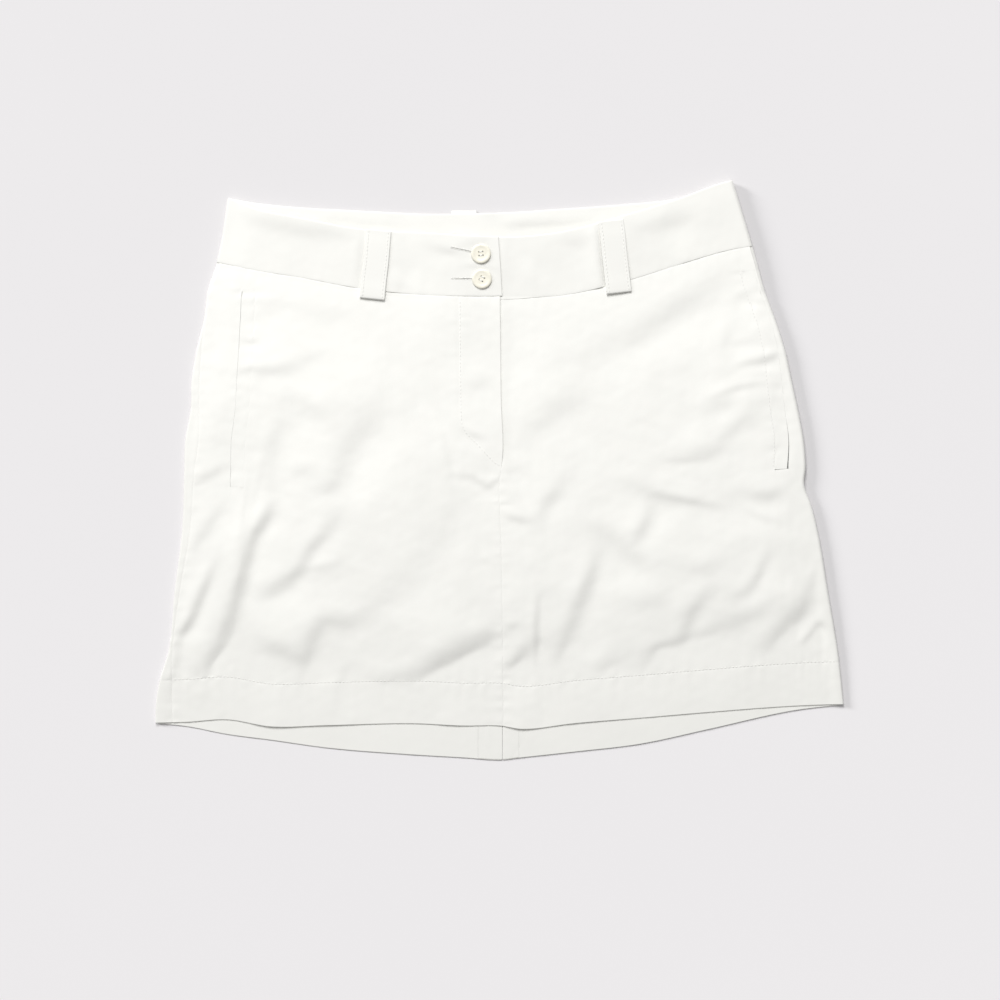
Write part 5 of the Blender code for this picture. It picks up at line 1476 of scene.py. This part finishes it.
def front_loop(row):
    """A loop that stands off the band and is folded under at its lower end."""
    up = np.array([0.0, 0.0, 1.0])
    raised = lift((row.x_top + row.x_end) / 2, row.y_top)
    top_tilt = float(tilt(row.x_top, row.y_top))
    top = np.array([row.x_top, row.y_top, SEWN_LEVEL + raised + top_tilt])
    end = np.array([row.x_end, row.y_end, SEWN_LEVEL + raised])
    run = (end - top) / np.linalg.norm(end - top)
    arch = curve(LOOP_ARCH, "share", "rise")
    length = np.linalg.norm(end - top)
    along = shares(length, STRAP_STEP, fine=(0,))
    path = [top + (end - top) * s + up * float(arch(s)) for s in along]
    facings = [up] * len(path)
    turn = LOOP_ARCH[-1].rise / 2
    centre = path[-1] - up * turn
    for angle in TURN_ANGLES:
        facing = up * math.cos(angle) + run * math.sin(angle)
        path.append(centre + facing * turn)
        facings.append(facing)
    folded = path[-1]
    for s in shares(LOOP_RETURN, 2.0, fine=(1,))[1:]:
        path.append(folded - run * LOOP_RETURN * s)
        facings.append(-up)
    across = np.cross(up, run)
    return strap(row.name + "_cloth", np.array(path), np.array(facings), across,
                 len(along), row.roll)


def back_loop():
    """A loop flat on the table, with the back band over it."""
    y = np.linspace(BACK_LOOP_TOP, BACK_LOOP_END, 34)
    path = np.stack([np.full(len(y), BACK_LOOP_X), y,
                     np.full(len(y), STRAP / 2 + CLOSE)], -1)
    facings = np.broadcast_to([0.0, 0.0, 1.0], path.shape)
    return strap("belt_loop_back_cloth", path, facings, np.array([1.0, 0.0, 0.0]), 0)


# ---- Stitches ----------------------------------------------------------------------
STITCH = 2.3
STITCH_PITCH = 3.0
THREAD_RADIUS = 0.19
STITCH_SIDES = 6
DRAWN_IN = 0.4
# Along a stitch: its share, its rise above the cloth in thread radii, and its girth.
STITCH_RINGS = [(0.0, -0.9, 0.45), (0.16, 0.35, 0.95), (0.5, 0.7, 1.05),
                (0.84, 0.35, 0.95), (1.0, -0.9, 0.45)]


class Thread:
    """Gathers stitches, and makes them one joined mesh."""

    def __init__(self):
        self.starts = []
        self.ends = []
        self.outs = []

    def seam(self, points, normals, pitch=STITCH_PITCH, length=STITCH, first=0.4):
        """Stitches along a line on a surface, which the normals leave."""
        away = np.concatenate([[0], np.cumsum(np.linalg.norm(np.diff(points, axis=0),
                                                             axis=1))])
        begin = np.arange(first, away[-1] - length, pitch)

        def at(s, values):
            return np.stack([np.interp(s, away, values[:, k]) for k in range(3)], -1)

        if len(begin):
            self.starts.append(at(begin, points))
            self.ends.append(at(begin + length, points))
            self.outs.append(unit(at(begin + length / 2, normals)))
        return self

    def bar(self, start, end, out):
        self.starts.append(np.array([start], float))
        self.ends.append(np.array([end], float))
        self.outs.append(unit(np.array([out], float)))

    def make(self, name, radius=THREAD_RADIUS):
        starts, ends = np.concatenate(self.starts), np.concatenate(self.ends)
        out = np.concatenate(self.outs)
        run = unit(ends - starts)
        out = unit(out - run * (out * run).sum(-1, keepdims=True))
        beside = np.cross(run, out)
        rings = []
        for share, rise, girth in STITCH_RINGS:
            centre = starts + (ends - starts) * share + out * rise * radius
            for k in range(STITCH_SIDES):
                a = 2 * math.pi * k / STITCH_SIDES
                rings.append(centre + (out * math.cos(a) + beside * math.sin(a))
                             * radius * girth)
        verts = np.stack(rings, 1)
        count, each = verts.shape[:2]
        faces = []
        for r in range(len(STITCH_RINGS) - 1):
            for k in range(STITCH_SIDES):
                n = (k + 1) % STITCH_SIDES
                a, b = r * STITCH_SIDES, (r + 1) * STITCH_SIDES
                faces.append([a + k, b + k, b + n, a + n])
        caps = [list(range(STITCH_SIDES))[::-1],
                list(range(each - STITCH_SIDES, each))]
        every = [[v + each * c for v in face] for c in range(count)
                 for face in faces + caps]
        mesh = bpy.data.meshes.new(name)
        mesh.from_pydata((verts.reshape(-1, 3) * MM).tolist(), [], every)
        shape = bmesh.new()
        shape.from_mesh(mesh)
        bmesh.ops.recalc_face_normals(shape, faces=shape.faces)
        shape.to_mesh(mesh)
        shape.free()
        mesh.shade_smooth()
        return link(name, mesh)


def on_surface(surface, line):
    """Points of a panel's outer face above a line in plan, and the normals there."""
    x, y = sampled(line, 1.5)[:, :2].T
    points, normals = surface.point(surface.tube.girth(surface.side, x, y), y)
    return points + normals * CLOTH / 2, normals


# ---- Buttons -----------------------------------------------------------------------
BUTTON_SIDES = 72
HOLE_SIDES = 20
BUTTON_GAP = 0.1
BUTTON_THREAD_RADIUS = 0.24
THREADS_APART = 0.22
SLIT_OPEN = 0.16
SLIT_SIDES = 24
SLIT_TOOL_HEIGHT = 12.0
SATIN_PITCH = 0.42
SATIN_WIDTH = 0.9
SATIN_RADIUS = 0.15
SATIN_PAST_END = 0.6


def revolved(profile, radius, height, sides):
    """A turned shape of the profile's shares of radius and height."""
    shape = bmesh.new()
    rings = []
    for row in profile:
        if row.radius == 0:
            rings.append([shape.verts.new((0, 0, row.height * height))])
            continue
        rings.append([shape.verts.new((row.radius * radius * math.cos(a),
                                       row.radius * radius * math.sin(a),
                                       row.height * height))
                      for a in (2 * math.pi * k / sides for k in range(sides))])
    for a, b in zip(rings, rings[1:]):
        for k in range(sides):
            n = (k + 1) % sides
            ring = [a[k % len(a)], b[k % len(b)], b[n % len(b)], a[n % len(a)]]
            shape.faces.new(dict.fromkeys(ring))
    return shape


def cut(target, name, mesh, place, turn=0.0):
    """Takes a shape out of the target."""
    tool = link(name, mesh)
    tool.location = Vector(place) * MM
    tool.rotation_euler.z = turn
    step = target.modifiers.new(name, "BOOLEAN")
    step.operation = "DIFFERENCE"
    step.solver = "EXACT"
    step.object = tool
    bpy.context.view_layer.update()
    graph = bpy.context.evaluated_depsgraph_get()
    made = bpy.data.meshes.new_from_object(target.evaluated_get(graph))
    target.modifiers.clear()
    target.data = made
    bpy.data.objects.remove(tool)


def hole_places(row):
    for k in range(4):
        angle = math.radians(45 + 90 * k + row.turn)
        yield Vector((math.cos(angle), math.sin(angle), 0)) * HOLE_PITCH / math.sqrt(2)


def button(row, level, thread):
    """A four-hole button on the tab, sewn on with two threads through each pair of holes."""
    shape = revolved(BUTTON_PROFILE, BUTTON_RADIUS * MM, BUTTON_HEIGHT * MM, BUTTON_SIDES)
    made = from_bmesh(row.name + "_pearl", shape)
    holes = bmesh.new()
    for place in hole_places(row):
        verts = bmesh.ops.create_cone(holes, cap_ends=True, segments=HOLE_SIDES,
                                      radius1=HOLE_RADIUS * MM, radius2=HOLE_RADIUS * MM,
                                      depth=4 * BUTTON_HEIGHT * MM)["verts"]
        bmesh.ops.translate(holes, vec=place * MM, verts=verts)
    mesh = bpy.data.meshes.new(row.name + "_holes")
    holes.to_mesh(mesh)
    holes.free()
    cut(made, row.name + "_holes", mesh, (0, 0, 0))
    smooth(made.data, SHARP_EDGE_PEARL)
    place = Vector((row.x, row.y, level + BUTTON_GAP))
    made.data.transform(Matrix.Translation(place * MM))
    up = Vector((0, 0, 1))
    holes_at = [place + p + up * (BUTTON_HEIGHT * DISH - CLOSE) for p in hole_places(row)]
    for a, b in ((0, 1), (2, 3)):
        off = (holes_at[b] - holes_at[a]).cross(up).normalized() * THREADS_APART
        for k in (-1, 1):
            thread.bar(holes_at[a] + off * k, holes_at[b] + off * k, up)
    return made


def buttonhole(row, band, surface, thread):
    """A slit through the tab, with satin stitches along both sides and across its ends."""
    slope = math.radians(row.slit_slope)
    along = Vector((math.cos(slope), math.sin(slope), 0))
    beside = Vector((-along.y, along.x, 0))
    back = (SLIT_START - SLIT_END) / 2
    middle = Vector((row.x, row.y, 0)) - along * back
    length = SLIT_START + SLIT_END
    shape = revolved([Turned(0, -1), Turned(1, -1), Turned(1, 1), Turned(0, 1)],
                     length / 2 * MM, SLIT_TOOL_HEIGHT * MM, SLIT_SIDES)
    bmesh.ops.scale(shape, vec=Vector((1, SLIT_OPEN / (length / 2), 1)), verts=shape.verts)
    bmesh.ops.recalc_face_normals(shape, faces=shape.faces)
    mesh = bpy.data.meshes.new(row.name + "_slit")
    shape.to_mesh(mesh)
    shape.free()
    level = left_band_level(middle.x, middle.y)
    cut(band, row.name + "_slit", mesh, (middle.x, middle.y, float(level)), slope)
    reach = length / 2 + SATIN_PAST_END
    for side in (-1, 1):
        for s in np.arange(-reach, reach, SATIN_PITCH):
            inner = SLIT_OPEN * math.sqrt(max(0.0, 1 - (2 * s / length) ** 2))
            ends = []
            for out in (inner - CLOSE, inner + SATIN_WIDTH):
                place = middle + along * s + beside * side * out
                w = BANDS.girth(LEFT, np.array([place.x]), np.array([place.y]))
                points, normals = surface.point(w, np.array([place.y]))
                ends.append(points[0] + normals[0] * float(tab_thick(place.x)) / 2)
            thread.bar(*ends, (0, 0, 1))


# ---- Materials ---------------------------------------------------------------------
# Noise scales are in waves a metre, and bump heights in metres.
Bump = namedtuple("Bump", "strength height")
MOTTLE_SCALE = 22
SLUB_SCALE = 900
SLUB_BUMP = Bump(0.12, 0.00012)
WEAVE_BUMP = Bump(0.12, 0.0001)
# A wave texture's scale for lines one metre apart.
WAVE_SCALE = 0.444
CLOUD_SCALE = 260
PEARL_GRAIN_SCALE = 1400
PEARL_BUMP = Bump(0.04, 0.00005)
TWIST_SCALE = 1800
TWIST_BUMP = Bump(0.2, 0.00008)
FLOOR_MOTTLE_SCALE = 6


class Nodes:
    """A material's nodes, made and linked by short calls."""

    def __init__(self, name):
        self.material = bpy.data.materials.new(name)
        self.material.use_nodes = True
        self.tree = self.material.node_tree
        self.shader = self.tree.nodes["Principled BSDF"]
        self.place = self.add("ShaderNodeTexCoord")

    def add(self, kind, **values):
        node = self.tree.nodes.new(kind)
        for key, value in values.items():
            if hasattr(node, key):
                setattr(node, key, value)
            else:
                node.inputs[key.replace("_", " ")].default_value = value
        return node

    def join(self, source, output, target, socket):
        self.tree.links.new(source.outputs[output], target.inputs[socket])

    def noise(self, scale, detail=3.0, roughness=0.5):
        made = self.add("ShaderNodeTexNoise", Scale=scale, Detail=detail,
                        Roughness=roughness)
        self.join(self.place, "Object", made, "Vector")
        return made

    def tinted(self, noise, colour, dark, light, low=0.3, high=0.7):
        """A colour that the noise takes from a darker share of it to a lighter one."""
        made = self.add("ShaderNodeValToRGB")
        for end, share, place in zip(made.color_ramp.elements, (dark, light), (low, high)):
            end.position = place
            end.color = (*(c * share for c in colour), 1)
        self.join(noise, "Fac", made, "Fac")
        return made

    def bumped(self, source, bump, under=None):
        made = self.add("ShaderNodeBump", Strength=bump.strength, Distance=bump.height)
        self.join(source, "Fac", made, "Height")
        if under is not None:
            self.join(under, "Normal", made, "Normal")
        return made

    def math(self, operation, source, number, swapped=False):
        made = self.add("ShaderNodeMath", operation=operation)
        made.inputs[0 if swapped else 1].default_value = number
        self.join(source, "Value", made, 1 if swapped else 0)
        return made

    def from_key(self, operation, source, output, value):
        made = self.add("ShaderNodeVectorMath", operation=operation)
        made.inputs[1].default_value = value
        self.join(source, output, made, 0)
        return made

    def finish(self, colour, output, bump=None, **values):
        """Links the colour and the bump, and sets the shader's own sockets."""
        self.join(colour, output, self.shader, "Base Color")
        if bump is not None:
            self.join(bump, "Normal", self.shader, "Normal")
        for key, value in values.items():
            self.shader.inputs[key.replace("_", " ")].default_value = value
        return self.material


def cloth_material(name, colour, weave, roughness=0.82, sheen=0.25):
    """Cotton: mottled, with a fine diagonal weave, and a soft sheen."""
    made = Nodes(name)
    tint = made.tinted(made.noise(MOTTLE_SCALE, 4.0, 0.55), colour, 0.985, 1.01)
    lines = made.add("ShaderNodeTexWave", Scale=WAVE_SCALE / (weave * MM), Distortion=0.8,
                     Detail=1.0, wave_type="BANDS", bands_direction="DIAGONAL")
    lines.inputs["Detail Scale"].default_value = 1.5
    made.join(made.place, "Object", lines, "Vector")
    bump = made.bumped(made.noise(SLUB_SCALE, 2.0, 0.6), SLUB_BUMP,
                       made.bumped(lines, WEAVE_BUMP))
    return made.finish(tint, "Color", bump, Roughness=roughness, Sheen_Weight=sheen,
                       Sheen_Roughness=0.5, Specular_IOR_Level=0.25)


def pearl_material():
    """Cream plastic with faint clouds, as on moulded buttons."""
    made = Nodes("pearl_cream")
    tint = made.tinted(made.noise(CLOUD_SCALE, 3.0, 0.6), PEARL, 0.95, 1.05, 0.35, 0.65)
    bump = made.bumped(made.noise(PEARL_GRAIN_SCALE, 1.0, 0.5), PEARL_BUMP)
    return made.finish(tint, "Color", bump, Roughness=0.28, Coat_Weight=0.3,
                       Coat_Roughness=0.15)


def thread_material():
    made = Nodes("off_white_thread")
    twist = made.noise(TWIST_SCALE, 1.0, 0.5)
    tint = made.tinted(twist, THREAD, 0.95, 1.02)
    return made.finish(tint, "Color", made.bumped(twist, TWIST_BUMP), Roughness=0.6,
                       Sheen_Weight=0.2)


def floor_material():
    """Pale, and a little deeper in tone near the lamp, so that it looks even."""
    made = Nodes("pale_floor")
    tint = made.tinted(made.noise(FLOOR_MOTTLE_SCALE, 2.0, 0.5), FLOOR, 0.998, 1.002)
    away = made.from_key("DISTANCE", made.place, "Object", KEY_PLACE)
    apart = made.from_key("SUBTRACT", made.place, "Object", KEY_PLACE)
    facing = made.from_key("DOT_PRODUCT", apart, 0, -Vector(KEY_PLACE).normalized())
    strength = KEY_POWER * KEY_PLACE[2] / math.pi ** 2
    strength *= Vector(KEY_PLACE).length ** (KEY_FALLOFF - 4)
    key = made.math("MULTIPLY", made.math("POWER", away, -KEY_FALLOFF), strength)
    aimed = made.math("MULTIPLY", key, 0)
    made.join(facing, "Value", aimed, 1)
    light = made.math("ADD", aimed, EVEN_LIGHT)
    share = made.math("MINIMUM", made.math("DIVIDE", light, 1.0, swapped=True), FLOOR_MOST)
    even = made.add("ShaderNodeVectorMath", operation="SCALE")
    made.join(tint, "Color", even, 0)
    made.join(share, "Value", even, "Scale")
    return made.finish(even, 0, Roughness=0.9, Specular_IOR_Level=0.1)


TWILL_FINISH = cloth_material("off_white_twill", TWILL, 0.7)
# The band's and the front loops' twill, darker by painted shade.
BAND_FINISH_PAINTED_SHADE = cloth_material("waistband_twill", BAND_TWILL_PAINTED_SHADE, 0.7)
POCKET_FINISH = cloth_material("pocketing", POCKETING, 0.45, 0.85, 0.15)
TAPE_FINISH = cloth_material("zip_tape", TWILL, 0.5, 0.8, 0.15)
PEARL_FINISH = pearl_material()
THREAD_FINISH = thread_material()


# ---- Putting pieces on the frame ---------------------------------------------------
# The backs' columns run from the side seam round the fold to the vent.
BACK_SPANS = {-1: [Span(8, 1.0, (0,)), Span(8, 0.7, ()), Span(250, 2.6, (1,)),
                   Span(FACING_WIDTH[-1], 1.4, (0, 1))],
              1: [Span(5, 0.9, (0,)), Span(6, 0.9, ()), Span(230, 2.6, (1,)),
                  Span(FACING_WIDTH[1], 1.4, (0, 1))]}


def dress(made, material, slot, *nodes):
    """The piece rides on the one body, in the given material, for the nodes it replaces. The
    slot is not used.
    """
    made.data.materials.clear()
    made.data.materials.append(material)
    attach(made, "root")
    if nodes:
        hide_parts(*nodes)
    return made


left_panel, front_left = front_left_panel()
right_panel, front_right = front_right_panel()
back_left_panel, back_left = back_panel(LEFT, "back_left_cloth")
back_right_panel, back_right = back_panel(RIGHT, "back_right_cloth")
for made, node in ((front_left, "front_left"), (front_right, "front_right"),
                   (back_left, "back_left"), (back_right, "back_right")):
    dress(made, TWILL_FINISH, "twill", node)

band_left = waistband_front_left()
band_right = waistband_front_right()
band_back = waistband_back()

tab_surface = Surface(LEFT, BANDS, left_band_level, back_band_level, band_detail)
satin = Thread()
button_threads = Thread()
for row in BUTTONS:
    buttonhole(row, band_left, tab_surface, satin)
    level = float(left_band_level(row.x, row.y) + tab_thick(row.x) / 2)
    dress(button(row, level, button_threads), PEARL_FINISH, "pearl", row.name)
dress(satin.make("buttonhole_stitches", SATIN_RADIUS), THREAD_FINISH, "twill")
dress(button_threads.make("button_thread", BUTTON_THREAD_RADIUS), THREAD_FINISH, "twill")
for made, node in ((band_left, "waistband_front_left"),
                   (band_right, "waistband_front_right"),
                   (band_back, "waistband_back")):
    smooth(made.data)
    dress(made, BAND_FINISH_PAINTED_SHADE, "twill", node)

dress(welt(LEFT, "pocket_welt_left_cloth", left_front_level, LEFT_MOUTH, LEFT_END_GAP),
      TWILL_FINISH, "twill", "pocket_welt_left")
dress(welt(RIGHT, "pocket_welt_right_cloth", right_front_level, RIGHT_MOUTH, RIGHT_END_GAP),
      TWILL_FINISH, "twill", "pocket_welt_right")
for side, name in ((LEFT, "pocket_bag_left"), (RIGHT, "pocket_bag_right")):
    dress(bag(side, name + "_cloth"), POCKET_FINISH, "pocketing", name)
tape, tape_middle = zip_tape()
dress(tape, TAPE_FINISH, "zip_tape", "fly_zip")
dress(zip_chain(tape_middle), TAPE_FINISH, "zip_tape")

loop_thread = Thread()
for row in FRONT_LOOPS:
    made, lines = front_loop(row)
    dress(made, BAND_FINISH_PAINTED_SHADE, "twill", row.name)
    for line, out in lines:
        loop_thread.seam(line, out)
made, _ = back_loop()
dress(made, TWILL_FINISH, "twill", "belt_loop_back")
dress(loop_thread.make("belt_loop_stitches"), THREAD_FINISH, "twill")


# ---- Cloth -------------------------------------------------------------------------
# Each sheet's size before it was sewn: width and length, and the area of its shape, in
# metres. A doubled band or a folded welt counts once, as it shows.
Cut = namedtuple("Cut", "width length area rests_on")


# ---- Stitching ---------------------------------------------------------------------
WELT_STITCH_INSET = 3
WELT_STITCH_SUNK = 0.1


def hem_thread(panel, first=0, thick=CLOTH):
    """The stitching of a hem, along the panel's outer face."""
    columns = slice(first, len(panel.columns))
    out = panel.normals[panel.stitch_row, columns]
    return Thread().seam(panel.points[panel.stitch_row, columns] + out * thick / 2, out)


left_thread = hem_thread(left_panel)
left_thread.seam(*on_surface(left_panel.surface, FLY_STITCHES))
right_thread = hem_thread(right_panel, right_panel.columns.last[1])
rows = slice(right_panel.row(POCKET_TOP_SHARE), right_panel.row(POCKET_END_SHARE) + 1)
column = right_panel.columns.last[3] - WELT_STITCH_INSET
out = right_panel.normals[rows, column]
right_thread.seam(right_panel.points[rows, column] + out * (CLOTH / 2 - WELT_STITCH_SUNK), out)
# The back's stitches are drawn in, where the cloth lies on the table.
back_left_thread = hem_thread(back_left_panel, thick=CLOTH - DRAWN_IN)
back_right_thread = hem_thread(back_right_panel, thick=CLOTH - DRAWN_IN)
for thread, name in ((left_thread, "front_left_stitches"),
                     (right_thread, "front_right_stitches"),
                     (back_left_thread, "back_left_stitches"),
                     (back_right_thread, "back_right_stitches")):
    dress(thread.make(name), THREAD_FINISH, "twill")


# ---- Floor, light and camera -------------------------------------------------------
FLOOR_REACH = 30.0


def make_floor():
    shape = bmesh.new()
    bmesh.ops.create_grid(shape, x_segments=8, y_segments=8, size=FLOOR_REACH)
    floor = from_bmesh("floor", shape)
    floor.data.materials.append(floor_material())


def light(name, kind, strength, direction, place=(0, 0, 0)):
    lamp = bpy.data.lights.new(name, kind)
    lamp.energy = strength
    made = bpy.data.objects.new(name, lamp)
    made.location = place
    made.rotation_euler = Vector(direction).to_track_quat("-Z", "Y").to_euler()
    bpy.context.scene.collection.objects.link(made)
    return lamp


def make_lights():
    """A soft lamp beyond the waist, a low light from the left, and a pale sky."""
    key = light("key", "AREA", KEY_POWER, -Vector(KEY_PLACE), KEY_PLACE)
    key.size = KEY_SIZE
    for low in (SIDE, SIDE_ON_FLOOR):
        side = light(low.name, "SUN", low.strength, low.way)
        side.angle = math.radians(low.angle)
    for low, state in ((SIDE, "EXCLUDE"), (SIDE_ON_FLOOR, "INCLUDE")):
        lit = bpy.data.collections.new(low.name + "_lights")
        lit.objects.link(bpy.data.objects["floor"])
        lit.collection_objects[0].light_linking.link_state = state
        bpy.data.objects[low.name].light_linking.receiver_collection = lit
    world = bpy.data.worlds.new("studio")
    bpy.context.scene.world = world
    world.use_nodes = True
    sky = world.node_tree.nodes["Background"]
    sky.inputs["Color"].default_value = (1, 1, 1, 1)
    sky.inputs["Strength"].default_value = SKY


CAMERA_HEIGHT = 1.6
CAMERA_Y = -0.0228
LENS = 72
SENSOR = 36


def make_camera():
    camera = bpy.data.cameras.new("camera")
    camera.lens = LENS
    camera.sensor_width = SENSOR
    made = bpy.data.objects.new("camera", camera)
    made.location = (0, CAMERA_Y, CAMERA_HEIGHT)
    bpy.context.scene.collection.objects.link(made)
    bpy.context.scene.camera = made


make_floor()
make_lights()
bpy.context.scene.view_settings.view_transform = "Standard"
make_camera()
